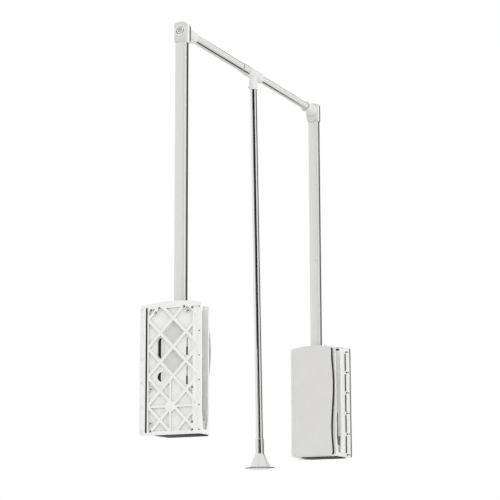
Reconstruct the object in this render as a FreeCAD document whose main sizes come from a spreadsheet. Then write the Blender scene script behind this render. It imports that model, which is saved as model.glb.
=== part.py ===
import FreeCAD, Part
import math
import os
import Sketcher

# Pull down closet rod: two mirrored lift units on the side walls of a wardrobe carry two arms,
# a telescopic hanging bar and a pull rod. Millimetres, +Z up, the user stands on the -Y side.
# The origin is on the left wall plate's mounting face, on the axis that both arms turn about.

DRIVING_SIZES = [
    ("overall_width", 750, "between the two cabinet walls"),
    ("plate_breadth", 137, "wall plate, front edge to rear edge"),
    ("plate_height", 256, "wall plate at its corners"),
    ("plate_crown", 6, "rise of the arched top edge above the corners"),
    ("plate_round", 5, "corner radius of the wall plate"),
    ("pivot_height", 55, "pivot axis above the lower edge of the wall plate"),
    ("flange_thickness", 3, "wall plate outside its lattice"),
    ("panel_thickness", 10, "wall plate across its lattice"),
    ("panel_web", 5, "skin behind the lattice pockets"),
    ("deep_cell_web", 2, "skin behind the two deeper cells in the middle column"),
    ("flange_skin", 1.2, "skin behind the shallow pockets of the front flange"),
    ("panel_gap", 0.5, "between the raised panel and the shell round it"),
    ("lattice_front", 60.5, "front end of the lattice, ahead of the arms' plane"),
    ("lattice_pitch", 57, "spacing of the crossings, both ways"),
    ("lattice_band", 6, "breadth of one diagonal band"),
    ("lattice_behind", -6, "column of crossings, behind the arms' plane"),
    ("lattice_above", 2, "row of crossings, above the pivot"),
    ("lattice_border", 3, "solid border round the lattice"),
    ("groove_breadth", 4, "long slot beside the rear flange"),
    ("window_breadth", 18, "upper window, through the web to the damper"),
    ("window_height", 41, "the same window, upright, with its round ends"),
    ("eye_radius", 9.5, "lower window, round, at the damper rod's ball end"),
    ("peep_slot_breadth", 2.6, "thin upright slots in the web"),
    ("peep_slot_length", 35, "the same slots, upright"),
    ("flange_hole_inset", 5, "flange hole row to the plate's edge"),
    ("flange_hole_first", 7.5, "lowest flange hole above the plate's lower edge"),
    ("flange_hole_pitch", 47.9, "spacing of the six flange holes"),
    ("flange_hole_radius", 1.5, "small holes of both flanges"),
    ("flange_ring_radius", 4, "ring groove round each rear flange hole"),
    ("flange_ring_core", 2.6, "collar inside that groove"),
    ("flange_ring_depth", 0.8, "depth of that groove"),
    ("case_screw_middle", -2, "centre of the case screws, behind the arms' plane"),
    ("case_screw_half", 46, "half the spacing of the two case screw columns"),
    ("case_screw_row_1", 8, "case screw row above the plate's lower edge"),
    ("case_screw_row_2", 23, "the next row"),
    ("case_screw_row_3", 90, "the next row"),
    ("case_screw_row_4", 246, "the highest row of the two columns"),
    ("top_screw_half", 27.5, "half the spacing of the two screws under the arched top"),
    ("top_screw_row", 249, "those two, above the plate's lower edge"),
    ("corner_screw_half", 35.5, "half the spacing of the pair below them"),
    ("corner_screw_row", 240.5, "that pair, above the plate's lower edge"),
    ("case_screw_radius", 1.5, "screws that hold the shell to the plate"),
    ("case_screw_reach", 12, "length of those screws beyond the plate"),
    ("case_screw_sink", 5, "depth of the sinks for their heads"),
    ("boss_wall", 1, "wall of each round boss about its sink"),
    ("post_wall", 2, "wall of the shell's screw posts"),
    ("post_rib", 2, "thickness of the rib behind each post"),
    ("hub_radius", 11, "round boss of the plate about the pivot"),
    ("hub_spoke", 4, "breadth of the upright and level ribs at the hub"),
    ("shell_front", 55, "shell's front face ahead of the arms' plane"),
    ("shell_rear", 58, "shell's rear face behind the arms' plane"),
    ("shell_wall", 2.5, "wall of the shell"),
    ("shell_inset", 1.5, "shell inside the plate's lower and upper edges"),
    ("shell_depth", 60, "shell's inner rim, from the cabinet wall"),
    ("shell_crown", 5, "arched top of shell and cover"),
    ("shell_round", 4, "corner radius of the shell"),
    ("rim_thickness", 4, "inner rim that carries the cover"),
    ("rim_breadth", 8.5, "inner rim, outer face to its opening"),
    ("slot_near", 30, "arm slot, side next to the wall plate"),
    ("slot_shoulder", 8, "below the pivot, from where the slot narrows"),
    ("slot_floor", 44, "arm slot's lower end below the pivot"),
    ("slot_floor_near", 33, "slot's lower end, side next to the wall plate"),
    ("slot_floor_far", 50, "slot's lower end, side next to the cover"),
    ("slot_clearance", 3, "slot's rear end behind the arm"),
    ("cover_depth", 70.5, "cover's face from the cabinet wall"),
    ("cover_half", 49.5, "half the cover's breadth"),
    ("cover_wall", 2, "wall of the cover"),
    ("cover_inset", 1, "cover inside the shell's upper and lower faces"),
    ("cover_round", 7, "corner radius of the cover"),
    ("cover_edge", 3, "rounded edge of the cover's face"),
    ("arm_offset", 42, "middle of the arm from the cabinet wall"),
    ("arm_breadth", 25, "arm tube, front to rear"),
    ("arm_thickness", 18, "arm tube, side to side"),
    ("arm_wall", 1.5, "wall of the arm tube"),
    ("arm_round", 2.5, "corner radius of the arm tube"),
    ("arm_foot_drop", 14, "arm tube's lower end below the pivot"),
    ("bar_height", 774.5, "hanging bar's axis above the pivot"),
    ("lift_angle", 105, "turn of the arms, degrees"),
    ("axle_radius", 6, "pivot axle"),
    ("bush_wall", 2, "wall of the axle bushes"),
    ("run_gap", 0.05, "running clearance on the radius"),
    ("seat_gap", 0.3, "between parts that move past each other"),
    ("ring_thickness", 1.2, "axle washer and retaining ring"),
    ("ring_wall", 3, "breadth of washer and retaining ring"),
    ("pinion_module", 1.5, "pitch circle diameter over tooth count"),
    ("pinion_teeth", 24, "teeth of the pinion"),
    ("tooth_backlash", 0.3, "play between pinion and rack at the pitch line"),
    ("pinion_near", 13, "pinion's face from the cabinet wall"),
    ("pinion_face", 13, "breadth of the teeth"),
    ("lever_radius", 15, "round root of the pinion's lever"),
    ("lever_breadth", 20, "lever along the arm"),
    ("lever_length", 44, "lever's end above the pivot"),
    ("foot_screw_first", 22, "lower foot screw above the pivot"),
    ("foot_screw_pitch", 15, "spacing of the foot screws"),
    ("foot_screw_radius", 2, "foot screws"),
    ("foot_insert_height", 52, "insert's upper end above the pivot"),
    ("rack_back", 30, "rack's rear face behind the pivot"),
    ("rack_drop", 48, "rack's lower end below the pivot"),
    ("rack_rise", 46, "rack's upper end above the pivot"),
    ("crosshead_height", 8, "crosshead on top of the rack"),
    ("crosshead_length", 52, "crosshead, front to rear"),
    ("damper_behind", 28, "damper's axis behind the pivot"),
    ("mechanism_offset", 20, "damper and springs, from the cabinet wall"),
    ("damper_radius", 8, "damper body"),
    ("damper_bore", 6, "bore of the damper body"),
    ("damper_bottom", 98, "damper's lower end above the pivot"),
    ("damper_end", 3, "end walls of the damper body"),
    ("damper_rod_radius", 3, "damper rod"),
    ("damper_piston_rise", 115, "piston's lower face above the pivot"),
    ("piston_height", 8, "damper piston"),
    ("knuckle_radius", 5, "ball at the lower end of the damper rod"),
    ("spring_spacing", 18, "each spring beside the damper"),
    ("spring_radius", 7, "outside of the return springs"),
    ("spring_wire", 2, "wire of the return springs"),
    ("guide_radius", 4, "guide rods and spigots inside the springs"),
    ("guide_end", 98, "guide rods' lower ends above the pivot"),
    ("spigot_height", 6, "spigots on the crosshead"),
    ("anchor_bottom", 174, "anchor shelf above the pivot"),
    ("anchor_height", 6, "anchor shelf"),
    ("guide_block_back", 6, "rack guide behind the rack"),
    ("guide_block_top", 20, "rack guide's upper end above the pivot"),
    ("guide_lip", 2.5, "lip of the rack guide beside the rack"),
    ("stop_rib_back", 18, "rib that carries the upper stop, behind the arms' plane"),
    ("stop_rib_thickness", 3, "the same rib"),
    ("stop_bottom", 182, "upper stop above the pivot"),
    ("stop_height", 12, "upper stop"),
    ("stop_breadth", 12, "both rubber stops, side to side"),
    ("lower_stop_length", 8, "lower stop, front to rear"),
    ("cap_grow", 0.5, "arm cap proud of the arm tube"),
    ("cap_below_bar", 25.5, "arm cap's lower edge below the bar's axis"),
    ("cap_height", 40.5, "arm cap's corners above its lower edge"),
    ("cap_crown", 2.5, "arched top of the arm cap"),
    ("cap_round", 2, "edge radius of the arm cap"),
    ("cap_plug", 25, "cap's plug inside the arm tube"),
    ("tongue_thickness", 4.5, "cap's inner tongue, under the socket"),
    ("tongue_drop", 3, "tongue below the cap's lower edge"),
    ("sink_radius", 10, "round sink in the cap's outer face"),
    ("sink_depth", 3, "depth of that sink"),
    ("cap_screw_radius", 2.5, "screw along the bar's axis"),
    ("cap_screw_head", 5, "head radius of the cap screw"),
    ("socket_flange", 14.5, "bar socket's flange radius"),
    ("socket_flange_length", 6, "bar socket's flange"),
    ("socket_neck", 11.4, "bar socket's narrow end, radius"),
    ("socket_ring", 12.4, "bar socket's end ring, radius"),
    ("socket_ring_length", 4, "bar socket's end ring"),
    ("socket_length", 36, "bar socket in all"),
    ("bar_radius", 10, "outer hanging tube"),
    ("bar_wall", 1, "wall of both hanging tubes"),
    ("bar_overhang", 25, "outer tube's end past the middle"),
    ("bar_overlap", 160, "inner tube's end before the middle"),
    ("bar_plug_length", 20, "plug in each bar end"),
    ("tee_length", 66, "T-fitting along the bar"),
    ("tee_wall", 1.2, "wall of the T-fitting's sleeve"),
    ("tee_ring", 0.5, "end rings proud of the sleeve"),
    ("tee_ring_length", 4, "end rings"),
    ("tee_stem", 9.2, "stem radius"),
    ("tee_drop", 36, "stem's lower end below the bar's axis"),
    ("tee_web", 5, "gusset thickness"),
    ("tee_web_reach", 14, "gusset from the stem's axis along the bar"),
    ("collar_length", 30, "stop collar beside the T-fitting"),
    ("collar_wall", 0.8, "wall of the stop collar"),
    ("rod_lean", 0.85, "pull rod leans forward, degrees"),
    ("rod_radius", 8, "pull rod tube"),
    ("rod_wall", 1, "wall of the pull rod"),
    ("rod_socket", 14, "rod's upper end below the bar's axis"),
    ("grip_bottom", 874, "bell's rim below the bar's axis"),
    ("bell_rim", 31, "bell's rim radius"),
    ("bell_foot", 23.6, "cone's radius where it meets the brim"),
    ("bell_lip", 2, "thickness of the brim"),
    ("bell_cone", 31, "height of the cone"),
    ("bell_neck", 30, "height of the neck"),
    ("bell_neck_wall", 1.5, "neck wall about the rod"),
    ("bell_wall", 2.5, "wall of the cone"),
    ("disc_thickness", 2.5, "disc that closes the bell"),
    ("disc_dimple", 6, "radius of the dimple in the disc"),
    ("disc_dimple_depth", 0.6, "depth of that dimple"),
    ("bell_screw_radius", 2, "screw from the bell into the rod's plug"),
    ("rod_plug_length", 18, "plug in the rod's lower end"),
    ("tee_screw_radius", 1.5, "screw through the stem"),
    ("tee_screw_drop", 28, "that screw below the bar's axis"),
    ("screw_head_height", 2.4, "heads of the small screws"),
    ("screw_head_wall", 1.6, "small screw heads beyond their shanks"),
]

FAR = 400
FLANGE_HOLES = 6
AXIS_TURNS = {
    "x": FreeCAD.Rotation(FreeCAD.Vector(0, 1, 0), 90),
    "y": FreeCAD.Rotation(FreeCAD.Vector(1, 0, 0), -90),
    "z": FreeCAD.Rotation(),
}

document = FreeCAD.newDocument("PullDownClosetRod")
sheet = document.addObject("Spreadsheet::Sheet", "Sizes")
nodes = {}


class Measure:
    """A length that carries both its number and the spreadsheet expression it comes from."""

    def __init__(self, value, text):
        self.value = float(value)
        self.text = text

    def __add__(self, other):
        other = measure(other)
        return Measure(self.value + other.value, "({} + {})".format(self.text, other.text))

    def __sub__(self, other):
        other = measure(other)
        return Measure(self.value - other.value, "({} - {})".format(self.text, other.text))

    def __mul__(self, other):
        other = measure(other)
        return Measure(self.value * other.value, "({} * {})".format(self.text, other.text))

    def __truediv__(self, other):
        other = measure(other)
        return Measure(self.value / other.value, "({} / {})".format(self.text, other.text))

    def __neg__(self):
        return measure(0) - self


def measure(number):
    """The number itself, or a plain number as a Measure."""
    if isinstance(number, Measure):
        return number
    return Measure(number, "({:.9f})".format(number))


def fill_sheet():
    """Write the driving sizes into the spreadsheet and return them by name."""
    sizes = {}
    for row, (alias, value, note) in enumerate(DRIVING_SIZES, start=1):
        sheet.set("A{}".format(row), alias)
        sheet.set("B{}".format(row), str(value))
        sheet.set("C{}".format(row), note)
        sheet.setAlias("B{}".format(row), alias)
        sizes[alias] = Measure(value, "Sizes." + alias)
    document.recompute()
    return sizes


S = fill_sheet()


def bind(item, path, length):
    """Tie one property of a document object to the sheet."""
    item.setExpression(path, measure(length).text)


def bind_place(item, x, y, z):
    """Tie an object's placement to the sheet."""
    bind(item, "Placement.Base.x", x)
    bind(item, "Placement.Base.y", y)
    bind(item, "Placement.Base.z", z)


def keep(node, item):
    """Name a finished sub-part."""
    item.Label = node
    nodes[node] = item
    return item


# ---- solids made of Part primitives


def block(name, low, size):
    """A box from its low corner and its three sizes."""
    item = document.addObject("Part::Box", name)
    bind_place(item, *low)
    bind(item, "Length", size[0])
    bind(item, "Width", size[1])
    bind(item, "Height", size[2])
    return item


def cylinder(name, start, axis, length, radius):
    """A round bar from the centre of its low end, along x, y or z."""
    item = document.addObject("Part::Cylinder", name)
    item.Placement = FreeCAD.Placement(FreeCAD.Vector(), AXIS_TURNS[axis])
    bind_place(item, *start)
    bind(item, "Height", length)
    bind(item, "Radius", radius)
    return item


def cone(name, start, axis, length, low_radius, high_radius):
    """A cone from the centre of its low end, along x, y or z."""
    item = document.addObject("Part::Cone", name)
    item.Placement = FreeCAD.Placement(FreeCAD.Vector(), AXIS_TURNS[axis])
    bind_place(item, *start)
    bind(item, "Height", length)
    bind(item, "Radius1", low_radius)
    bind(item, "Radius2", high_radius)
    return item


def ball(name, centre, radius):
    """A sphere about its centre."""
    item = document.addObject("Part::Sphere", name)
    bind_place(item, *centre)
    bind(item, "Radius", radius)
    return item


def join(name, items):
    """The union of several solids; separate ones stay separate."""
    item = document.addObject("Part::MultiFuse", name)
    item.Shapes = items
    return item


def cut(name, base, tools):
    """A solid less one or more tools."""
    item = document.addObject("Part::Cut", name)
    item.Base = base
    item.Tool = tools[0] if len(tools) == 1 else join(name + "_tools", tools)
    return item


# ---- PartDesign bodies


def origin_plane(body, role):
    """One of a body's own origin planes."""
    return [feature for feature in body.Origin.OriginFeatures if feature.Role == role][0]


def new_sketch(body, name, role, height):
    """A sketch on one of the body's origin planes, moved along that plane's normal."""
    sketch = body.newObject("Sketcher::SketchObject", name)
    sketch.AttachmentSupport = [(origin_plane(body, role), "")]
    sketch.MapMode = "FlatFace"
    bind(sketch, "AttachmentOffset.Base.z", height)
    return sketch


def hold(sketch, kind, geometry, point, length):
    """Fix a point's distance from the sketch's origin, along one axis."""
    length = measure(length)
    index = sketch.addConstraint(Sketcher.Constraint(kind, -1, 1, geometry, point, length.value))
    bind(sketch, "Constraints[{}]".format(index), length)


def draw_polygon(sketch, points):
    """A closed outline of straight edges through the given points."""
    first = sketch.GeometryCount
    count = len(points)
    for index in range(count):
        start = points[index]
        end = points[(index + 1) % count]
        start_vector = FreeCAD.Vector(measure(start[0]).value, measure(start[1]).value, 0)
        end_vector = FreeCAD.Vector(measure(end[0]).value, measure(end[1]).value, 0)
        sketch.addGeometry(Part.LineSegment(start_vector, end_vector))
    for index in range(count):
        joined = first + (index + 1) % count
        sketch.addConstraint(Sketcher.Constraint("Coincident", first + index, 2, joined, 1))
    for index in range(count):
        hold(sketch, "DistanceX", first + index, 1, points[index][0])
        hold(sketch, "DistanceY", first + index, 1, points[index][1])


def draw_rectangle(sketch, left, right, bottom, top):
    """An upright rectangle."""
    draw_polygon(sketch, [(left, bottom), (right, bottom), (right, top), (left, top)])


def draw_circle(sketch, across, upright, radius):
    """A circle by its centre and radius."""
    centre = FreeCAD.Vector(measure(across).value, measure(upright).value, 0)
    circle = Part.Circle(centre, FreeCAD.Vector(0, 0, 1), measure(radius).value)
    index = sketch.addGeometry(circle)
    hold(sketch, "DistanceX", index, 3, across)
    hold(sketch, "DistanceY", index, 3, upright)
    number = sketch.addConstraint(Sketcher.Constraint("Radius", index, measure(radius).value))
    bind(sketch, "Constraints[{}]".format(number), radius)


def draw_arched(sketch, left, right, bottom, top, crown):
    """A rectangle whose top edge is an arc that rises by crown in its middle."""
    corners = [(left, top), (left, bottom), (right, bottom), (right, top)]
    vectors = [FreeCAD.Vector(a.value, b.value, 0) for a, b in corners]
    first = sketch.GeometryCount
    for index in range(3):
        sketch.addGeometry(Part.LineSegment(vectors[index], vectors[index + 1]))
    middle = FreeCAD.Vector((left.value + right.value) / 2, top.value + crown.value, 0)
    sketch.addGeometry(Part.Arc(vectors[3], middle, vectors[0]))
    for index in range(2):
        joined = Sketcher.Constraint("Coincident", first + index, 2, first + index + 1, 1)
        sketch.addConstraint(joined)
    sketch.addConstraint(Sketcher.Constraint("Coincident", first + 2, 2, first + 3, 1))
    sketch.addConstraint(Sketcher.Constraint("Coincident", first + 3, 2, first, 1))
    for index in range(3):
        hold(sketch, "DistanceX", first + index, 1, corners[index][0])
        hold(sketch, "DistanceY", first + index, 1, corners[index][1])
    hold(sketch, "DistanceX", first + 2, 2, corners[3][0])
    hold(sketch, "DistanceY", first + 2, 2, corners[3][1])
    half = (right - left) / 2
    radius = (half * half + crown * crown) / (crown * 2)
    number = sketch.addConstraint(Sketcher.Constraint("Radius", first + 3, radius.value))
    bind(sketch, "Constraints[{}]".format(number), radius)


def new_body(name):
    """An empty PartDesign body."""
    return document.addObject("PartDesign::Body", name)


def pad(body, sketch, length):
    """Material from the sketch along its plane's normal."""
    feature = body.newObject("PartDesign::Pad", sketch.Name + "_pad")
    feature.Profile = sketch
    bind(feature, "Length", length)
    return feature


def pocket(body, sketch, length):
    """A cut from the sketch against its plane's normal."""
    feature = body.newObject("PartDesign::Pocket", sketch.Name + "_cut")
    feature.Profile = sketch
    bind(feature, "Length", length)
    return feature


def revolve(body, sketch):
    """A full turn of the sketch about its own upright axis."""
    feature = body.newObject("PartDesign::Revolution", sketch.Name + "_turn")
    feature.Profile = sketch
    feature.ReferenceAxis = (sketch, ["V_Axis"])
    feature.Angle = 360
    return feature


def round_edges(body, feature, radius, chosen):
    """A fillet on the edges of a feature that the test chooses."""
    document.recompute()
    names = []
    for index, edge in enumerate(feature.Shape.Edges, start=1):
        if chosen(edge):
            names.append("Edge{}".format(index))
    fillet = body.newObject("PartDesign::Fillet", feature.Name + "_round")
    fillet.Base = (feature, names)
    bind(fillet, "Radius", radius)
    return fillet


def runs_along(axis):
    """A test for straight edges along x (0), y (1) or z (2)."""

    def chosen(edge):
        if not isinstance(edge.Curve, Part.Line):
            return False
        return abs(abs(edge.Curve.Direction[axis]) - 1) < 1e-6

    return chosen


def lies_at_x(place):
    """A test for edges that lie wholly at one x."""

    def chosen(edge):
        box = edge.BoundBox
        return abs(box.XMin - place) < 1e-4 and abs(box.XMax - place) < 1e-4

    return chosen


class Unit:
    """One side of the lift. Depths run from the cabinet wall inwards, and the two units mirror."""

    def __init__(self, name, mirrored):
        self.name = name
        self.mirrored = mirrored
        self.wall = S["overall_width"] if mirrored else measure(0)

    def node(self, word):
        return "{}_{}".format(self.name, word)

    def low(self, near, far):
        """Low end along x, in the unit's own frame, of what spans two depths."""
        return -measure(far) if self.mirrored else measure(near)

    def low_x(self, near, far):
        """Low end along x, in the part's frame."""
        return self.wall + self.low(near, far)

    def at_x(self, depth):
        """Place along x of one depth, in the part's frame."""
        return self.wall - depth if self.mirrored else measure(depth)

    def block(self, name, near, far, front, rear, bottom, top):
        """A box between depths, y places and heights."""
        near, far, front, rear = measure(near), measure(far), measure(front), measure(rear)
        bottom, top = measure(bottom), measure(top)
        low = (self.low_x(near, far), front, bottom)
        return block(self.node(name), low, (far - near, rear - front, top - bottom))

    def pin(self, name, near, far, behind, above, radius):
        """A round bar along x between depths."""
        near, far = measure(near), measure(far)
        start = (self.low_x(near, far), behind, above)
        return cylinder(self.node(name), start, "x", far - near, radius)

    def taper(self, name, near, far, behind, above, near_radius, far_radius):
        """A cone along x between depths."""
        near, far = measure(near), measure(far)
        start = (self.low_x(near, far), behind, above)
        radii = (far_radius, near_radius) if self.mirrored else (near_radius, far_radius)
        return cone(self.node(name), start, "x", far - near, *radii)

    def post(self, name, depth, behind, bottom, top, radius):
        """An upright round bar."""
        bottom, top = measure(bottom), measure(top)
        start = (self.at_x(depth), behind, bottom)
        return cylinder(self.node(name), start, "z", top - bottom, radius)

    def body(self, name):
        """A body whose own x = 0 is on the cabinet wall."""
        body = new_body(self.node(name))
        bind(body, "Placement.Base.x", self.wall)
        return body

    def sketch(self, body, name, near, far, cutting):
        """A sketch for a pad, or for a cut, between two depths."""
        near, far = measure(near), measure(far)
        start = self.low(near, far)
        height = start + (far - near) if cutting else start
        return new_sketch(body, self.node(name), "YZ_Plane", height)

    def pad(self, body, name, near, far, draw, *sizes):
        """Material between two depths, its outline drawn by draw."""
        sketch = self.sketch(body, name, near, far, False)
        draw(sketch, *sizes)
        return pad(body, sketch, measure(far) - near)

    def pocket(self, body, name, near, far, draw, *sizes):
        """A cut between two depths, its outline drawn by draw."""
        sketch = self.sketch(body, name, near, far, True)
        draw(sketch, *sizes)
        return pocket(body, sketch, measure(far) - near)


# ---- places that several sub-parts share

plate_half = S["plate_breadth"] / 2
plate_bottom = -S["pivot_height"]
plate_corner = plate_bottom + S["plate_height"]
shell_bottom = plate_bottom + S["shell_inset"]
shell_corner = plate_corner - S["shell_inset"]
shell_inner_bottom = shell_bottom + S["shell_wall"]
shell_inner_corner = shell_corner - S["shell_wall"]
shell_inner_front = S["shell_wall"] - S["shell_front"]
shell_inner_rear = S["shell_rear"] - S["shell_wall"]
rim_near = S["shell_depth"] - S["rim_thickness"]
panel_front = shell_inner_front + S["panel_gap"]
panel_bottom = shell_inner_bottom + S["panel_gap"]
panel_top = shell_inner_corner - S["panel_gap"]
panel_rear = shell_inner_rear - S["groove_breadth"] - S["lattice_border"]
pocket_floor = S["panel_thickness"] - S["panel_web"]
arm_near = S["arm_offset"] - S["arm_thickness"] / 2
arm_far = S["arm_offset"] + S["arm_thickness"] / 2
arm_half = S["arm_breadth"] / 2
slot_rear = arm_half + S["slot_clearance"]
case_hole_radius = S["case_screw_radius"] + S["run_gap"]
case_head_radius = S["case_screw_radius"] + S["screw_head_wall"]
boss_radius = case_head_radius + S["run_gap"] + S["boss_wall"]
post_radius = case_hole_radius + S["post_wall"]
post_near = S["panel_thickness"]
screw_end = S["panel_thickness"] + S["case_screw_reach"]
post_far = screw_end + S["post_wall"]
pitch_radius = S["pinion_module"] * S["pinion_teeth"] / 2
tooth_pitch = S["pinion_module"] * math.pi
pinion_tip = pitch_radius + S["pinion_module"]
tooth_root_depth = S["pinion_module"] * 1.25
pinion_far = S["pinion_near"] + S["pinion_face"]
rack_near = S["pinion_near"] + 0.5
rack_far = pinion_far - 0.5
rack_front = pitch_radius - S["pinion_module"]
rack_root = pitch_radius + tooth_root_depth
crosshead_top = S["rack_rise"] + S["crosshead_height"]
crosshead_front = S["damper_behind"] - S["crosshead_length"] / 2
crosshead_rear = S["damper_behind"] + S["crosshead_length"] / 2
anchor_far = S["mechanism_offset"] + S["damper_radius"] - 1
socket_near = arm_far + S["cap_grow"] + S["tongue_thickness"]
socket_far = socket_near + S["socket_length"]
bar_inner_radius = S["bar_radius"] - S["bar_wall"]
inner_bar_radius = bar_inner_radius - S["run_gap"]
cap_near = arm_near - S["cap_grow"]
cap_far = arm_far + S["cap_grow"]
cap_bottom = S["bar_height"] - S["cap_below_bar"]
middle = S["overall_width"] / 2
lift = math.radians(S["lift_angle"].value)


# ---- wall plate


def side_screw_places():
    """Centres (y, z) of the case screws in the two upright columns."""
    half = S["case_screw_half"]
    places = []
    for row in ("case_screw_row_1", "case_screw_row_2", "case_screw_row_3", "case_screw_row_4"):
        for column in (S["case_screw_middle"] - half, S["case_screw_middle"] + half):
            places.append((column, plate_bottom + S[row]))
    return places


def top_screw_places():
    """Centres (y, z) of the case screws under the arched top."""
    places = []
    for word in ("top_screw", "corner_screw"):
        for column in (S["case_screw_middle"] - S[word + "_half"],
                       S["case_screw_middle"] + S[word + "_half"]):
            places.append((column, plate_bottom + S[word + "_row"]))
    return places


def lattice_bands(unit):
    """Diagonal bands both ways, one lattice pitch apart."""
    bands = []
    half_length = measure(FAR) / 2
    half_band = S["lattice_band"] / 2
    root_half = math.sqrt(0.5)
    height = S["plate_height"].value + S["plate_breadth"].value
    steps = int(height / S["lattice_pitch"].value) + 1
    for sign in (1, -1):
        for step in range(-2, steps):
            row = S["lattice_above"] + S["lattice_pitch"] * step
            name = unit.node("band_{}_{}".format("up" if sign > 0 else "down", step + 2))
            band = document.addObject("Part::Box", name)
            turn = FreeCAD.Rotation(FreeCAD.Vector(1, 0, 0), 45 * sign)
            band.Placement = FreeCAD.Placement(FreeCAD.Vector(), turn)
            across = S["lattice_behind"] - (half_length - half_band * sign) * root_half
            upright = row - (half_length * sign + half_band) * root_half
            bind_place(band, unit.low_x(0, pocket_floor), across, upright)
            bind(band, "Length", pocket_floor)
            bind(band, "Width", FAR)
            bind(band, "Height", S["lattice_band"])
            bands.append(band)
    return bands


def deep_cell(unit, name, column, row):
    """A diamond cut that leaves a thinner skin, in the cell centred on (column, row)."""
    side = S["lattice_pitch"] * math.sqrt(0.5) - S["lattice_band"]
    depth = S["panel_thickness"] - S["deep_cell_web"]
    cell = document.addObject("Part::Box", unit.node(name))
    turn = FreeCAD.Rotation(FreeCAD.Vector(1, 0, 0), 45)
    cell.Placement = FreeCAD.Placement(FreeCAD.Vector(), turn)
    low = row - side * math.sqrt(0.5)
    bind_place(cell, unit.low_x(0, depth), column, low)
    bind(cell, "Length", depth)
    bind(cell, "Width", side)
    bind(cell, "Height", side)
    return cell


def make_windows(unit, column, low_row, high_row):
    """Two openings through the web: a round one, and above it an upright one with round ends."""
    through = S["panel_thickness"] + 1
    end_radius = S["window_breadth"] / 2
    reach = S["window_height"] / 2 - end_radius
    return [
        unit.pin("eye", -1, through, column, low_row, S["eye_radius"]),
        unit.block("window", -1, through, column - end_radius, column + end_radius,
                   high_row - reach, high_row + reach),
        unit.pin("window_foot", -1, through, column, high_row - reach, end_radius),
        unit.pin("window_head", -1, through, column, high_row + reach, end_radius),
    ]


def make_wall_plate(unit):
    """Flat flange, raised lattice panel with its pockets, holes, long slot and pivot hub."""
    body = unit.body("plate_body")
    flange = unit.pad(body, "plate_outline", 0, S["flange_thickness"], draw_arched,
                      -plate_half, plate_half, plate_bottom, plate_corner, S["plate_crown"])
    round_edges(body, flange, S["plate_round"], runs_along(0))
    unit.pad(body, "plate_panel", S["flange_thickness"], S["panel_thickness"], draw_rectangle,
             panel_front, panel_rear + S["lattice_border"], panel_bottom, panel_top)

    border = S["lattice_border"]
    deep = unit.block("deep_pockets", 0, pocket_floor, panel_front + border, panel_rear,
                      panel_bottom + border, panel_top - border)
    shallow_floor = S["flange_thickness"] - S["flange_skin"]
    shallow = unit.block("shallow_pockets", 0, shallow_floor, -S["lattice_front"],
                         panel_front, panel_bottom + border, panel_top - border)
    stays = lattice_bands(unit)
    stays.append(unit.pin("hub_stay", 0, pocket_floor, 0, 0, S["hub_radius"]))
    spoke = S["hub_spoke"] / 2
    first_crossing = S["lattice_above"] + S["lattice_pitch"]
    stays.append(unit.block("upright_spoke", 0, pocket_floor, -spoke, spoke,
                            panel_bottom, first_crossing))
    stays.append(unit.block("level_spoke", 0, pocket_floor, -S["lattice_front"], panel_rear,
                            -spoke, spoke))
    screws = side_screw_places() + top_screw_places()
    for index, (across, upright) in enumerate(screws):
        stays.append(unit.pin("boss_{}".format(index), 0, pocket_floor, across, upright,
                              boss_radius))
    pockets = cut(unit.node("pockets"), join(unit.node("pocket_zone"), [deep, shallow]), stays)

    tools = [pockets]
    column = S["lattice_behind"] + S["lattice_pitch"] / 2
    front_column = S["lattice_behind"] - S["lattice_pitch"] / 2
    second_crossing = first_crossing + S["lattice_pitch"]
    tools.extend(make_windows(unit, column, first_crossing, second_crossing))
    for step in (1, 2):
        row = S["lattice_above"] + S["lattice_pitch"] * step
        tools.append(deep_cell(unit, "deep_cell_{}".format(step), S["lattice_behind"],
                               row + S["lattice_pitch"] / 2))
        half_slot = S["peep_slot_breadth"] / 2
        half_length = S["peep_slot_length"] / 2
        tools.append(unit.block("peep_{}".format(step), pocket_floor - 1,
                                S["panel_thickness"] + 1, front_column - half_slot,
                                front_column + half_slot, row - half_length, row + half_length))
    tools.append(unit.block("long_slot", -1, S["flange_thickness"] + 1,
                            shell_inner_rear - S["groove_breadth"], shell_inner_rear,
                            panel_bottom, panel_top))
    for index, (across, upright) in enumerate(screws):
        tools.append(unit.pin("case_hole_{}".format(index), -1, S["panel_thickness"] + 1,
                              across, upright, case_hole_radius))
        tools.append(unit.pin("case_sink_{}".format(index), -1, S["case_screw_sink"], across,
                              upright, case_head_radius + S["run_gap"]))
    row_place = plate_half - S["flange_hole_inset"]
    for index in range(FLANGE_HOLES):
        upright = plate_bottom + S["flange_hole_first"] + S["flange_hole_pitch"] * index
        for word, across in (("front", -row_place), ("rear", row_place)):
            tools.append(unit.pin("{}_flange_hole_{}".format(word, index), -1,
                                  S["flange_thickness"] + 1, across, upright,
                                  S["flange_hole_radius"]))
        ring = unit.pin("flange_ring_{}".format(index), -1, S["flange_ring_depth"],
                        row_place, upright, S["flange_ring_radius"])
        core = unit.pin("flange_core_{}".format(index), -2, S["flange_ring_depth"] + 1,
                        row_place, upright, S["flange_ring_core"])
        tools.append(cut(unit.node("flange_groove_{}".format(index)), ring, [core]))
    bush_radius = S["axle_radius"] + S["run_gap"] + S["bush_wall"]
    tools.append(unit.pin("hub_bore", S["flange_thickness"], S["panel_thickness"] + 1, 0, 0,
                          bush_radius))
    keep(unit.node("wall_plate"), cut(unit.node("plate"), body, tools))


# ---- shell, cover and their stops


def shell_roof(across):
    """Height inside the shell's arched upper wall, at a place behind the arms' plane."""
    shell_middle = (S["shell_rear"] - S["shell_front"]) / 2
    shell_half = (S["shell_rear"] + S["shell_front"]) / 2 - S["shell_wall"]
    share = (across - shell_middle) / shell_half
    rise = S["shell_crown"] * (measure(1) - share * share)
    return shell_inner_corner + rise + S["shell_wall"] / 3


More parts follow.
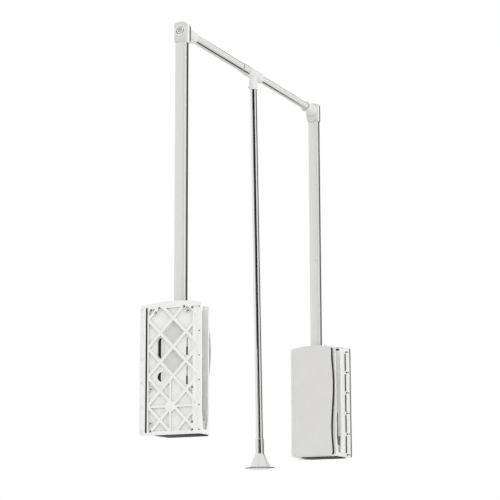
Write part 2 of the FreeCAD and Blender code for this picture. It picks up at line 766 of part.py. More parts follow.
def make_slot_tool(unit):
    """The arm's slot through the front wall; its lower end narrows."""
    body = unit.body("slot_body")
    behind_wall = S["shell_front"] - S["shell_wall"] - 1
    sketch = new_sketch(body, unit.node("slot_outline"), "XZ_Plane", behind_wall)
    top = shell_corner + S["shell_crown"] + 1
    corners = [(S["slot_near"], top), (S["slot_near"], -S["slot_shoulder"]),
               (S["slot_floor_near"], -S["slot_floor"]), (S["slot_floor_far"], -S["slot_floor"]),
               (rim_near, -S["slot_shoulder"]), (rim_near, top)]
    draw_polygon(sketch, [(unit.low(depth, depth), upright) for depth, upright in corners])
    pad(body, sketch, S["shell_wall"] + 2)
    return body


def make_base_shell(unit):
    """Open box with an inner rim, the arm's slot, screw posts and the upper stop's rib."""
    body = unit.body("shell_body")
    front = -S["shell_front"]
    rear = S["shell_rear"]
    outline = unit.pad(body, "shell_outline", S["flange_thickness"], S["shell_depth"],
                       draw_arched, front, rear, shell_bottom, shell_corner, S["shell_crown"])
    round_edges(body, outline, S["shell_round"], runs_along(0))
    unit.pocket(body, "shell_inside", S["flange_thickness"], rim_near, draw_arched,
                shell_inner_front, shell_inner_rear, shell_inner_bottom, shell_inner_corner,
                S["shell_crown"])
    rim = S["rim_breadth"]
    unit.pocket(body, "rim_opening", rim_near, S["shell_depth"], draw_arched, front + rim,
                -front - rim, shell_bottom + rim, shell_corner - rim, S["shell_crown"])

    wall = S["shell_wall"]
    rib_rear = S["stop_rib_back"] + S["stop_rib_thickness"]
    parts = [body]
    parts.append(unit.block("stop_rib", S["slot_near"] + 2, rim_near, S["stop_rib_back"],
                            rib_rear, S["stop_bottom"], shell_roof(rib_rear)))
    places = side_screw_places() + top_screw_places()
    half_rib = S["post_rib"] / 2
    for index, (across, upright) in enumerate(places):
        parts.append(unit.pin("post_{}".format(index), post_near, post_far, across, upright,
                              post_radius))
    for index, (across, upright) in enumerate(side_screw_places()):
        ahead = across.value < 0
        rib_front = shell_inner_front - wall / 2 if ahead else across
        rib_back = across if ahead else shell_inner_rear + wall / 2
        parts.append(unit.block("side_rib_{}".format(index), post_near, post_far, rib_front,
                                rib_back, upright - half_rib, upright + half_rib))
    for index, (across, upright) in enumerate(top_screw_places()):
        parts.append(unit.block("top_rib_{}".format(index), post_near, post_far,
                                across - half_rib, across + half_rib, upright,
                                shell_roof(across)))
    solid = join(unit.node("shell_solid"), parts)

    tools = [make_slot_tool(unit),
             unit.block("roof_slot", S["slot_near"], rim_near, front - 1, slot_rear,
                        shell_inner_corner - 1, shell_corner + S["shell_crown"] + 1)]
    for index, (across, upright) in enumerate(places):
        tools.append(unit.pin("post_hole_{}".format(index), post_near - 1, screw_end, across,
                              upright, case_hole_radius))
    keep(unit.node("base_shell"), cut(unit.node("shell"), solid, tools))


def make_cover(unit):
    """Smooth inner cover with rounded edges and a boss for the axle's bush."""
    body = unit.body("cover_body")
    half = S["cover_half"]
    bottom = shell_bottom + S["cover_inset"]
    top = shell_corner - S["cover_inset"]
    wall = S["cover_wall"]
    outline = unit.pad(body, "cover_outline", S["shell_depth"], S["cover_depth"], draw_arched,
                       -half, half, bottom, top, S["shell_crown"])
    rounded = round_edges(body, outline, S["cover_round"], runs_along(0))
    face = (-S["cover_depth"] if unit.mirrored else S["cover_depth"]).value
    round_edges(body, rounded, S["cover_edge"], lies_at_x(face))
    unit.pocket(body, "cover_inside", S["shell_depth"], S["cover_depth"] - wall, draw_arched,
                -half + wall, half - wall, bottom + wall, top - wall, S["shell_crown"])
    bush_radius = S["axle_radius"] + S["run_gap"] + S["bush_wall"]
    boss_near = rim_near + 1
    boss_far = S["cover_depth"] - wall / 2
    bore_far = S["cover_depth"] - wall
    boss = unit.pin("cover_boss", boss_near, boss_far, 0, 0, bush_radius + S["bush_wall"])
    bore = unit.pin("cover_bore", boss_near - 1, bore_far, 0, 0, bush_radius)
    keep(unit.node("cover"), cut(unit.node("cover_solid"),
                                 join(unit.node("cover_and_boss"), [body, boss]), [bore]))


def make_case_screws(unit):
    """Screws through the plate into the shell's posts, their heads sunk in the bosses."""
    screws = []
    floor = S["case_screw_sink"]
    for index, (across, upright) in enumerate(side_screw_places() + top_screw_places()):
        screws.append(unit.pin("case_screw_head_{}".format(index),
                               floor - S["screw_head_height"], floor, across, upright,
                               case_head_radius))
        screws.append(unit.pin("case_screw_shank_{}".format(index), floor - 1,
                               screw_end - S["run_gap"], across, upright,
                               S["case_screw_radius"]))
    keep(unit.node("case_screws"), join(unit.node("case_screw_set"), screws))


def make_stops(unit):
    """Rubber pads: behind the raised arm, and under the lowered arm."""
    near = S["arm_offset"] - S["stop_breadth"] / 2
    far = S["arm_offset"] + S["stop_breadth"] / 2
    upper = unit.block("upper_pad", near, far, arm_half + S["seat_gap"], S["stop_rib_back"],
                       S["stop_bottom"] + 1, S["stop_bottom"] + S["stop_height"])
    keep(unit.node("upper_stop"), upper)

    # Height of the lowered arm's under face at the pad's front edge.
    sine = math.sin(lift)
    cosine = math.cos(lift)
    reach = (-shell_inner_front - arm_half * cosine) / sine
    under_face = reach * cosine - arm_half * sine
    pad_top = under_face - S["seat_gap"]
    lower = unit.block("lower_pad", near, far, shell_inner_front,
                       shell_inner_front + S["lower_stop_length"], shell_inner_bottom, pad_top)
    keep(unit.node("lower_stop"), lower)


# ---- pivot, pinion and arm


def make_bushes(unit):
    """One bush in the plate's hub and one in the cover's boss."""
    outer = S["axle_radius"] + S["run_gap"] / 2 + S["bush_wall"]
    inner = S["axle_radius"] + S["run_gap"]
    spans = (("plate", S["flange_thickness"], S["panel_thickness"]),
             ("cover", rim_near + 1, S["cover_depth"] - S["cover_wall"]))
    bushes = []
    for word, near, far in spans:
        solid = unit.pin(word + "_bush_solid", near, far, 0, 0, outer)
        hole = unit.pin(word + "_bush_hole", near - 1, far + 1, 0, 0, inner)
        bushes.append(cut(unit.node(word + "_bush"), solid, [hole]))
    keep(unit.node("axle_bushes"), join(unit.node("bushes"), bushes))


def make_axle(unit):
    """Steel shaft from the plate's hub to the cover's boss."""
    near = S["flange_thickness"] + S["seat_gap"]
    far = S["cover_depth"] - S["cover_wall"] - S["seat_gap"]
    keep(unit.node("pivot_axle"), unit.pin("axle", near, far, 0, 0, S["axle_radius"]))


def make_axle_rings(unit):
    """Thrust washer beside the plate, washer and retaining ring inside the arm."""
    thickness = S["ring_thickness"]
    hole = S["axle_radius"] + S["run_gap"] / 2
    outer = hole + S["ring_wall"]
    thrust_near = S["panel_thickness"] + S["seat_gap"]
    clip_near = arm_far + thickness + S["run_gap"]
    spans = ((thrust_near, S["pinion_near"], outer), (arm_far, arm_far + thickness, outer),
             (clip_near, clip_near + thickness, outer - 1))
    rings = []
    for index, (near, far, radius) in enumerate(spans):
        solid = unit.pin("ring_solid_{}".format(index), near, far, 0, 0, radius)
        bore = unit.pin("ring_bore_{}".format(index), near - 1, far + 1, 0, 0, hole)
        rings.append(cut(unit.node("ring_{}".format(index)), solid, [bore]))
    keep(unit.node("axle_rings"), join(unit.node("rings"), rings))


def foot_screw_heights():
    """Heights of the two screws that tie arm, insert and pinion lever."""
    first = S["foot_screw_first"]
    return [first, first + S["foot_screw_pitch"]]


def involute_point(base_radius, roll, start_angle):
    """Point of an involute at a roll angle, turned so that it starts at start_angle."""
    angle = start_angle + roll - math.atan(roll)
    radius = base_radius * math.sqrt(1 + roll * roll)
    return radius * math.cos(angle), radius * math.sin(angle)


def tooth_gap_points():
    """Outline of one gap of the pinion, on its +Y side, from involute flanks."""
    pressure = math.radians(20)
    pitch = pitch_radius.value
    base = pitch * math.cos(pressure)
    root = pitch - tooth_root_depth.value
    outside = pinion_tip.value + 1
    half_gap = (tooth_pitch.value / 2 + S["tooth_backlash"].value / 2) / 2 / pitch
    involute = math.tan(pressure) - pressure
    start = half_gap - involute
    last_roll = math.sqrt((pinion_tip.value / base) ** 2 - 1)
    steps = 5
    upper = [(root * math.cos(start), root * math.sin(start))]
    for step in range(steps + 1):
        upper.append(involute_point(base, last_roll * step / steps, start))
    tip_angle = math.atan2(upper[-1][1], upper[-1][0])
    upper.append((outside * math.cos(tip_angle), outside * math.sin(tip_angle)))
    lower = [(across, -upright) for across, upright in reversed(upper)]
    gap = upper + lower
    turn = math.pi / S["pinion_teeth"].value
    turned = []
    for across, upright in gap:
        turned.append((across * math.cos(turn) - upright * math.sin(turn),
                       across * math.sin(turn) + upright * math.cos(turn)))
    return turned


def make_pinion(unit):
    """Gear with a round root and a lever that lies along the arm."""
    body = unit.body("pinion_body")
    unit.pad(body, "pinion_blank", S["pinion_near"], pinion_far, draw_circle, 0, 0, pinion_tip)
    gap = unit.pocket(body, "pinion_gap", S["pinion_near"], pinion_far, draw_polygon,
                      tooth_gap_points())
    pattern = body.newObject("PartDesign::PolarPattern", unit.node("pinion_gaps"))
    pattern.Originals = [gap]
    pattern.Axis = (origin_axis(body, "X_Axis"), [""])
    pattern.Angle = 360
    bind(pattern, "Occurrences", S["pinion_teeth"])
    body.Tip = pattern

    half = S["lever_breadth"] / 2
    root = unit.pin("lever_root", pinion_far, arm_near, 0, 0, S["lever_radius"])
    lever = unit.block("lever", pinion_far, arm_near, -half, half, 0, S["lever_length"])
    tools = [unit.pin("pinion_bore", S["pinion_near"] - 1, arm_near + 1, 0, 0,
                      S["axle_radius"] + S["run_gap"] / 2)]
    for index, height in enumerate(foot_screw_heights()):
        tools.append(unit.pin("lever_hole_{}".format(index), pinion_far - 1, arm_near + 1, 0,
                              height, S["foot_screw_radius"] + S["run_gap"]))
    solid = join(unit.node("pinion_solid"), [body, root, lever])
    keep(unit.node("pinion"), cut(unit.node("pinion_cut"), solid, tools))


def origin_axis(body, role):
    """One of a body's own origin axes."""
    return [feature for feature in body.Origin.OriginFeatures if feature.Role == role][0]


def make_arm(unit):
    """Rounded rectangular tube from below the pivot up to the cap."""
    body = unit.body("arm_body")
    near = unit.low(arm_near, arm_far)
    far = near + S["arm_thickness"]
    wall = S["arm_wall"]
    outline = new_sketch(body, unit.node("arm_outline"), "XY_Plane", -S["arm_foot_drop"])
    draw_rectangle(outline, near, far, -arm_half, arm_half)
    length = cap_bottom + S["arm_foot_drop"]
    blank = pad(body, outline, length)
    round_edges(body, blank, S["arm_round"], runs_along(2))
    inside = new_sketch(body, unit.node("arm_inside"), "XY_Plane", cap_bottom)
    draw_rectangle(inside, near + wall, far - wall, wall - arm_half, arm_half - wall)
    pocket(body, inside, length)
    tools = [unit.pin("arm_axle_hole", arm_near - 1, arm_far + 1, 0, 0,
                      S["axle_radius"] + S["run_gap"] / 2)]
    for index, height in enumerate(foot_screw_heights()):
        tools.append(unit.pin("arm_screw_hole_{}".format(index), arm_near - 1, arm_far + 1, 0,
                              height, S["foot_screw_radius"] + S["run_gap"]))
    keep(unit.node("arm_tube"), cut(unit.node("arm"), body, tools))


def make_arm_foot(unit):
    """Insert that fills the tube's lower end, with the axle and screw holes."""
    wall = S["arm_wall"] + S["run_gap"]
    solid = unit.block("foot_block", arm_near + wall, arm_far - wall, wall - arm_half,
                       arm_half - wall, -S["arm_foot_drop"], S["foot_insert_height"])
    tools = [unit.pin("foot_axle_hole", arm_near - 1, arm_far + 1, 0, 0,
                      S["axle_radius"] + S["run_gap"] / 2)]
    for index, height in enumerate(foot_screw_heights()):
        tools.append(unit.pin("foot_hole_{}".format(index), arm_near - 1, arm_far + 1, 0,
                              height, S["foot_screw_radius"] + S["run_gap"]))
    keep(unit.node("arm_foot"), cut(unit.node("foot"), solid, tools))


def make_foot_screws(unit):
    """Two screws from the arm's inner side into the pinion's lever."""
    screws = []
    for index, height in enumerate(foot_screw_heights()):
        screws.append(unit.pin("foot_shank_{}".format(index), pinion_far, arm_far + 1, 0,
                               height, S["foot_screw_radius"]))
        screws.append(unit.pin("foot_head_{}".format(index), arm_far,
                               arm_far + S["screw_head_height"], 0, height,
                               S["foot_screw_radius"] + S["screw_head_wall"]))
    keep(unit.node("foot_screws"), join(unit.node("foot_screw_set"), screws))


# ---- rack, springs and damper


def make_rack(unit):
    """Toothed bar behind the pinion, one gap level with the pivot."""
    body = unit.body("rack_body")
    unit.pad(body, "rack_blank", rack_near, rack_far, draw_rectangle, rack_front,
             S["rack_back"], -S["rack_drop"], S["rack_rise"])
    slope = math.tan(math.radians(20))
    half_gap = tooth_pitch / 4 + S["tooth_backlash"] / 4
    mouth = rack_front - 1
    gap_count = int((S["rack_drop"] + S["rack_rise"]).value / tooth_pitch.value)
    below = int(S["rack_drop"].value / tooth_pitch.value)
    lowest = -tooth_pitch * below
    mouth_half = half_gap + (pitch_radius - mouth) * slope
    root_half = half_gap - tooth_root_depth * slope
    points = [(mouth, lowest - mouth_half), (rack_root, lowest - root_half),
              (rack_root, lowest + root_half), (mouth, lowest + mouth_half)]
    gap = unit.pocket(body, "rack_gap", rack_near, rack_far, draw_polygon, points)
    pattern = body.newObject("PartDesign::LinearPattern", unit.node("rack_gaps"))
    pattern.Originals = [gap]
    pattern.Direction = (origin_axis(body, "Z_Axis"), [""])
    pattern.Occurrences = gap_count
    bind(pattern, "Length", tooth_pitch * (gap_count - 1))
    body.Tip = pattern
    keep(unit.node("rack"), body)


def spring_places():
    """Y places of the two return springs, before and behind the damper."""
    return [S["damper_behind"] - S["spring_spacing"], S["damper_behind"] + S["spring_spacing"]]


def make_crosshead(unit):
    """Bridge on the rack that carries the springs and the damper rod."""
    parts = [unit.block("crosshead_block", rack_near, rack_far + 1, crosshead_front,
                        crosshead_rear, S["rack_rise"], crosshead_top)]
    for index, across in enumerate(spring_places()):
        parts.append(unit.post("spigot_{}".format(index), S["mechanism_offset"], across,
                               crosshead_top - 1, crosshead_top + S["spigot_height"],
                               S["guide_radius"]))
    keep(unit.node("crosshead"), join(unit.node("crosshead_solid"), parts))


def make_damper_rod(unit):
    """Ball end on the crosshead, rod and piston."""
    across = S["damper_behind"]
    depth = S["mechanism_offset"]
    centre = crosshead_top + S["knuckle_radius"] * 0.9
    piston = S["damper_piston_rise"]
    knuckle = ball(unit.node("knuckle"), (unit.at_x(depth), across, centre),
                   S["knuckle_radius"])
    flat = unit.block("knuckle_flat", depth - 10, depth + 10, across - 10, across + 10,
                      crosshead_top - 10, crosshead_top)
    seat = cut(unit.node("knuckle_cut"), knuckle, [flat])
    rod = unit.post("damper_shaft", depth, across, centre, piston + S["piston_height"],
                    S["damper_rod_radius"])
    head = unit.post("piston", depth, across, piston, piston + S["piston_height"],
                     S["damper_bore"] - S["run_gap"])
    keep(unit.node("damper_rod"), join(unit.node("damper_rod_solid"), [seat, rod, head]))


def make_damper_body(unit):
    """Closed cylinder under the anchor shelf; the rod enters it from below."""
    across = S["damper_behind"]
    depth = S["mechanism_offset"]
    bottom = S["damper_bottom"]
    top = S["anchor_bottom"]
    end = S["damper_end"]
    solid = unit.post("damper_tube", depth, across, bottom, top, S["damper_radius"])
    bore = unit.post("damper_inside", depth, across, bottom + end, top - end,
                     S["damper_bore"])
    mouth = unit.post("damper_mouth", depth, across, bottom - 1, bottom + end + 1,
                      S["damper_rod_radius"] + S["run_gap"])
    keep(unit.node("damper_body"), cut(unit.node("damper"), solid, [bore, mouth]))


def make_springs(unit):
    """Two coil springs as closed sleeves, from the crosshead to the anchor shelf."""
    springs = []
    for index, across in enumerate(spring_places()):
        bottom = crosshead_top + S["seat_gap"]
        top = S["anchor_bottom"]
        solid = unit.post("spring_sleeve_{}".format(index), S["mechanism_offset"], across,
                          bottom, top, S["spring_radius"])
        hole = unit.post("spring_hole_{}".format(index), S["mechanism_offset"], across,
                         bottom - 1, top + 1, S["spring_radius"] - S["spring_wire"])
        springs.append(cut(unit.node("spring_{}".format(index)), solid, [hole]))
    keep(unit.node("return_springs"), join(unit.node("springs"), springs))


def make_spring_anchor(unit):
    """Shelf on the wall plate with a guide rod down each spring."""
    top = S["anchor_bottom"] + S["anchor_height"]
    parts = [unit.block("shelf", S["panel_thickness"], anchor_far, crosshead_front,
                        crosshead_rear, S["anchor_bottom"], top)]
    for index, across in enumerate(spring_places()):
        parts.append(unit.post("guide_rod_{}".format(index), S["mechanism_offset"], across,
                               S["guide_end"], S["anchor_bottom"] + 1, S["guide_radius"]))
    keep(unit.node("spring_anchor"), join(unit.node("anchor"), parts))


def make_rack_guide(unit):
    """Channel on the wall plate that holds the rack in mesh."""
    gap = S["seat_gap"]
    rear = S["rack_back"] + S["guide_block_back"]
    far = rack_far + gap + S["guide_lip"]
    solid = unit.block("guide_block", S["panel_thickness"], far, pinion_tip + 1, rear,
                       panel_bottom, S["guide_block_top"])
    channel = unit.block("guide_channel", rack_near - gap, rack_far + gap, 0,
                         S["rack_back"] + gap, panel_bottom - 1, S["guide_block_top"] + 1)
    keep(unit.node("rack_guide"), cut(unit.node("guide"), solid, [channel]))


# ---- arm cap and bar socket


def make_arm_cap(unit):
    """Cap with an arched top, a plug in the arm, a sink for the screw and an inner tongue."""
    bar = S["bar_height"]
    half = arm_half + S["cap_grow"]
    top = cap_bottom + S["cap_height"]
    body = unit.body("cap_body")
    block_pad = unit.pad(body, "cap_outline", cap_near, cap_far, draw_arched, -half, half,
                         cap_bottom, top, S["cap_crown"])
    round_edges(body, block_pad, S["cap_round"], runs_along(0))
    wall = S["arm_wall"] + S["run_gap"]
    plug = unit.block("cap_plug", arm_near + wall, arm_far - wall, wall - arm_half,
                      arm_half - wall, cap_bottom - S["cap_plug"], cap_bottom + 1)
    tongue_far = cap_far + S["tongue_thickness"]
    tongue_low = cap_bottom - S["tongue_drop"]
    tongue = unit.body("tongue_body")
    unit.pad(tongue, "tongue_outline", cap_far, tongue_far, draw_rectangle, -half, half,
             tongue_low + half, bar + half - 1)
    toe = unit.pin("tongue_toe", cap_far, tongue_far, 0, tongue_low + half, half)
    solid = join(unit.node("cap_solid"), [body, plug, tongue, toe])
    tools = [
        unit.pin("cap_sink", cap_near - 1, cap_near + S["sink_depth"], 0, bar,
                 S["sink_radius"]),
        unit.pin("cap_screw_hole", cap_near, tongue_far + 1, 0, bar,
                 S["cap_screw_radius"] + S["run_gap"]),
        unit.pin("cap_bar_hole", cap_far, tongue_far + 1, 0, bar,
                 bar_size(unit) + S["run_gap"]),
    ]
    keep(unit.node("arm_cap"), cut(unit.node("cap"), solid, tools))


def bar_size(unit):
    """Radius of the hanging tube that ends in this unit's socket."""
    return inner_bar_radius if unit.mirrored else S["bar_radius"]


def make_bar_socket(unit):
    """Stepped, conical collar that grips the bar's end."""
    bar = S["bar_height"]
    flange_far = socket_near + S["socket_flange_length"]
    ring_near = socket_far - S["socket_ring_length"]
    parts = [
        unit.pin("socket_flange", socket_near, flange_far, 0, bar, S["socket_flange"]),
        unit.taper("socket_cone", flange_far, ring_near, 0, bar, S["socket_flange"] - 1,
                   S["socket_neck"]),
        unit.pin("socket_ring", ring_near, socket_far, 0, bar, S["socket_ring"]),
    ]
    bore = unit.pin("socket_bore", socket_near - 1, socket_far + 1, 0, bar,
                    bar_size(unit) + S["run_gap"])
    keep(unit.node("bar_socket"),
         cut(unit.node("socket"), join(unit.node("socket_solid"), parts), [bore]))


def make_bar_plug(unit):
    """Threaded plug in the bar's end, for the cap screw."""
    near = cap_far + S["run_gap"]
    far = near + S["bar_plug_length"]
    radius = bar_size(unit) - S["bar_wall"] - S["run_gap"]
    solid = unit.pin("plug_solid", near, far, 0, S["bar_height"], radius)
    hole = unit.pin("plug_hole", near - 1, far + 1, 0, S["bar_height"],
                    S["cap_screw_radius"] + S["run_gap"])
    keep(unit.node("bar_plug"), cut(unit.node("plug"), solid, [hole]))


def make_cap_screw(unit):
    """Screw along the bar's axis, its head in the cap's sink."""
    bar = S["bar_height"]
    floor = cap_near + S["sink_depth"]
    head = unit.pin("cap_screw_top", floor - S["screw_head_height"], floor, 0, bar,
                    S["cap_screw_head"])
    shank = unit.pin("cap_screw_shank", floor - 1, cap_far + S["bar_plug_length"] - 2, 0, bar,
                     S["cap_screw_radius"])
    slot = unit.block("cap_screw_slot", floor - S["screw_head_height"] - 1,
                      floor - S["screw_head_height"] + 1, -0.7, 0.7,
                      bar - S["cap_screw_head"], bar + S["cap_screw_head"])
    cross = unit.block("cap_screw_cross", floor - S["screw_head_height"] - 1,
                       floor - S["screw_head_height"] + 1, -S["cap_screw_head"],
                       S["cap_screw_head"], bar - 0.7, bar + 0.7)
    keep(unit.node("cap_screw"), cut(unit.node("cap_screw_solid"),
                                     join(unit.node("cap_screw_blank"), [head, shank]),
                                     [slot, cross]))


# ---- hanging bar, T-fitting and pull rod


def tube_along_x(name, low, high, radius, hole):
    """A round tube between two x places on the bar's axis."""
    low, high = measure(low), measure(high)
    start = (low, 0, S["bar_height"])
    solid = cylinder(name + "_solid", start, "x", high - low, radius)
    bore = cylinder(name + "_bore", (low - 1, 0, S["bar_height"]), "x", high - low + 2, hole)
    return cut(name + "_tube", solid, [bore])


def make_bars(left, right):
    """Outer tube from the left cap past the middle, inner tube sliding in it."""
    outer_low = left.at_x(cap_far)
    outer_high = middle + S["bar_overhang"]
    keep("outer_bar", tube_along_x("outer", outer_low, outer_high, S["bar_radius"],
                                   bar_inner_radius))
    inner_low = middle - S["bar_overlap"]
    inner_high = right.at_x(cap_far)
    keep("inner_bar", tube_along_x("inner", inner_low, inner_high, inner_bar_radius,
                                   inner_bar_radius - S["bar_wall"]))
    tee_low = middle - S["tee_length"] / 2
    collar_high = tee_low - S["seat_gap"]
    keep("stop_collar", tube_along_x("collar", collar_high - S["collar_length"], collar_high,
                                     S["bar_radius"] + S["collar_wall"],
                                     S["bar_radius"] + S["run_gap"] / 2))


def lean_forward(item):
    """Hang an item, drawn below its own origin, from the bar at the rod's lean."""
    item.Placement = FreeCAD.Placement(FreeCAD.Vector(),
                                       FreeCAD.Rotation(FreeCAD.Vector(1, 0, 0),
                                                        -S["rod_lean"].value))
    bind_place(item, middle, 0, S["bar_height"])
    return item


def make_tee():
    """Sleeve that turns on the bar, its end rings, stem and two gussets."""
    half = S["tee_length"] / 2
    sleeve_radius = S["bar_radius"] + S["run_gap"] + S["tee_wall"]
    ring_radius = sleeve_radius + S["tee_ring"]
    ring = S["tee_ring_length"]
    stem = S["tee_stem"]
    drop = S["tee_drop"]
    parts = [
        cylinder("tee_sleeve", (-half, 0, 0), "x", S["tee_length"], sleeve_radius),
        cylinder("tee_ring_left", (-half, 0, 0), "x", ring, ring_radius),
        cylinder("tee_ring_right", (half - ring, 0, 0), "x", ring, ring_radius),
        cylinder("tee_stem", (0, 0, -drop), "z", drop, stem),
        cylinder("tee_stem_ring", (0, 0, -drop), "z", ring, stem + S["tee_ring"] / 2),
    ]
    web = new_body("tee_web_body")
    sketch = new_sketch(web, "tee_web_outline", "XZ_Plane", -S["tee_web"] / 2)
    reach = S["tee_web_reach"]
    foot = S["tee_drop"] - S["tee_ring_length"] - 2
    draw_polygon(sketch, [(-reach, -S["bar_radius"]), (-stem, -foot), (stem, -foot),
                          (reach, -S["bar_radius"])])
    pad(web, sketch, S["tee_web"])
    parts.append(web)
    solid = join("tee_solid", parts)
    overhang = S["bar_overhang"] + S["seat_gap"]
    tools = [
        cylinder("tee_outer_bore", (-half - 1, 0, 0), "x", half + 1 + overhang,
                 S["bar_radius"] + S["run_gap"]),
        cylinder("tee_inner_bore", (0, 0, 0), "x", half + 1, bar_inner_radius + S["run_gap"] / 2),
        cylinder("tee_rod_bore", (0, 0, -drop - 1), "z", drop + 1 - S["rod_socket"],
                 S["rod_radius"] + S["run_gap"] / 2),
        cylinder("tee_screw_hole", (0, 0, -S["tee_screw_drop"]), "y", stem + 5,
                 S["tee_screw_radius"] + S["run_gap"]),
    ]
    keep("tee_fitting", lean_forward(cut("tee", solid, tools)))


def make_tee_screw():
    """Small screw at the rear of the stem, into the rod."""
    drop = S["tee_screw_drop"]
    stem = S["tee_stem"]
    inside = S["rod_radius"] - S["rod_wall"] - 1
    shank = cylinder("tee_screw_shank", (0, inside, -drop), "y", stem + 1 - inside,
                     S["tee_screw_radius"])
    head = cylinder("tee_screw_head", (0, stem, -drop), "y", S["screw_head_height"],
                    S["tee_screw_radius"] + S["screw_head_wall"])
    keep("tee_screw", lean_forward(join("tee_screw_solid", [shank, head])))


neck_top = S["grip_bottom"] - S["bell_lip"] - S["bell_cone"] - S["bell_neck"]
neck_bottom = S["grip_bottom"] - S["bell_lip"] - S["bell_cone"]
rod_bottom = neck_bottom - 4


def make_pull_rod():
    """Chromed tube from the T-fitting down into the bell's neck."""
    length = rod_bottom - S["rod_socket"]
    solid = cylinder("rod_solid", (0, 0, -rod_bottom), "z", length, S["rod_radius"])
    bore = cylinder("rod_bore", (0, 0, -rod_bottom - 1), "z", length + 2,
                    S["rod_radius"] - S["rod_wall"])
    hole = cylinder("rod_screw_hole", (0, 0, -S["tee_screw_drop"]), "y", S["rod_radius"] + 1,
                    S["tee_screw_radius"] + S["run_gap"])
    keep("pull_rod", lean_forward(cut("rod", solid, [bore, hole])))


def make_bell():
    """Neck, cone and brim turned about the rod's axis, hollow below."""
    body = new_body("bell_body")
    neck = S["rod_radius"] + S["run_gap"] / 2
    neck_outer = neck + S["bell_neck_wall"]
    rim = S["bell_rim"]
    wall = S["bell_wall"]
    foot = S["bell_foot"]
    cone_low = S["grip_bottom"] - S["bell_lip"]
    shoulder = S["grip_bottom"] - S["disc_thickness"] - S["bell_lip"] / 4
    screw = S["bell_screw_radius"] + S["run_gap"]
    hollow_top = neck_bottom + wall
    points = [
        (neck, -neck_top), (neck_outer, -neck_top), (neck_outer, -neck_bottom),
        (foot, -cone_low), (rim, -cone_low), (rim, -S["grip_bottom"]),
        (foot - wall, -S["grip_bottom"]), (foot - wall, -shoulder),
        (foot - wall * 2, -shoulder), (neck - 1, -hollow_top),
        (screw, -hollow_top), (screw, -rod_bottom), (neck, -rod_bottom),
    ]
    sketch = new_sketch(body, "bell_outline", "XZ_Plane", 0)
    draw_polygon(sketch, points)
    revolve(body, sketch)
    keep("pull_bell", lean_forward(body))


def make_bell_disc():
    """Flat disc that closes the bell, with a shallow dimple in its middle."""
    radius = S["bell_foot"] - S["bell_wall"] - S["run_gap"]
    bottom = S["grip_bottom"] - S["bell_lip"] / 4
    disc = cylinder("disc", (0, 0, -bottom), "z", S["disc_thickness"], radius)
    dimple = cylinder("disc_dimple", (0, 0, -bottom - 1), "z", S["disc_dimple_depth"] + 1,
                      S["disc_dimple"])
    keep("bell_disc", lean_forward(cut("disc_cut", disc, [dimple])))


def make_rod_plug():
    """Plug in the rod's lower end, drilled for the bell's screw."""
    radius = S["rod_radius"] - S["rod_wall"] - S["run_gap"]
    solid = cylinder("rod_plug_solid", (0, 0, -rod_bottom), "z", S["rod_plug_length"], radius)
    hole = cylinder("rod_plug_hole", (0, 0, -rod_bottom - 1), "z", S["rod_plug_length"] + 2,
                    S["bell_screw_radius"] + S["run_gap"])
    keep("rod_plug", lean_forward(cut("rod_plug_cut", solid, [hole])))


def make_bell_screw():
    """Screw from inside the bell up into the rod's plug."""
    hollow_top = neck_bottom + S["bell_wall"]
    head = cylinder("bell_screw_head", (0, 0, -hollow_top - S["screw_head_height"]), "z",
                    S["screw_head_height"], S["bell_screw_radius"] + S["screw_head_wall"])
    length = hollow_top - rod_bottom + S["rod_plug_length"]
    shank = cylinder("bell_screw_shank", (0, 0, -hollow_top - 1), "z", length,
                     S["bell_screw_radius"])
    keep("bell_screw", lean_forward(join("bell_screw_solid", [head, shank])))


def make_unit(unit):
    """Every sub-part of one side."""
    make_wall_plate(unit)
    make_base_shell(unit)
    make_cover(unit)
    make_case_screws(unit)
    make_stops(unit)
    make_bushes(unit)
    make_axle(unit)
    make_axle_rings(unit)
    make_pinion(unit)
    make_arm(unit)
    make_arm_foot(unit)
    make_foot_screws(unit)
    make_rack(unit)
    make_crosshead(unit)
    make_damper_rod(unit)
    make_damper_body(unit)
    make_springs(unit)
    make_spring_anchor(unit)
    make_rack_guide(unit)
    make_arm_cap(unit)
    make_bar_socket(unit)
    make_bar_plug(unit)
    make_cap_screw(unit)


def check_and_export():
    """Stop on any failed object, then write each sub-part's STEP file."""
    document.recompute()
    for item in document.Objects:
        if "Invalid" in item.State or "Error" in item.State:
            raise RuntimeError("{} failed: {}".format(item.Name, item.State))
    for node, item in nodes.items():
        shape = item.Shape
        if shape.isNull() or not shape.isValid() or not shape.Solids:
            raise RuntimeError("{} has no valid solid".format(node))
    os.makedirs("parts", exist_ok=True)
    for node, item in nodes.items():
        item.Shape.exportStep("parts/{}.step".format(node))
    print("wrote {} sub-parts".format(len(nodes)))


def main():
    left = Unit("left", False)
    right = Unit("right", True)
    make_unit(left)
    make_unit(right)
    make_bars(left, right)
    make_tee()
    make_tee_screw()
    make_pull_rod()
    make_bell()
    make_bell_disc()
    make_rod_plug()
    make_bell_screw()
    check_and_export()


main()
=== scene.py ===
import math

import bmesh
import bpy
import numpy as np
from bpy.props import FloatProperty, PointerProperty
from mathutils import Matrix, Vector


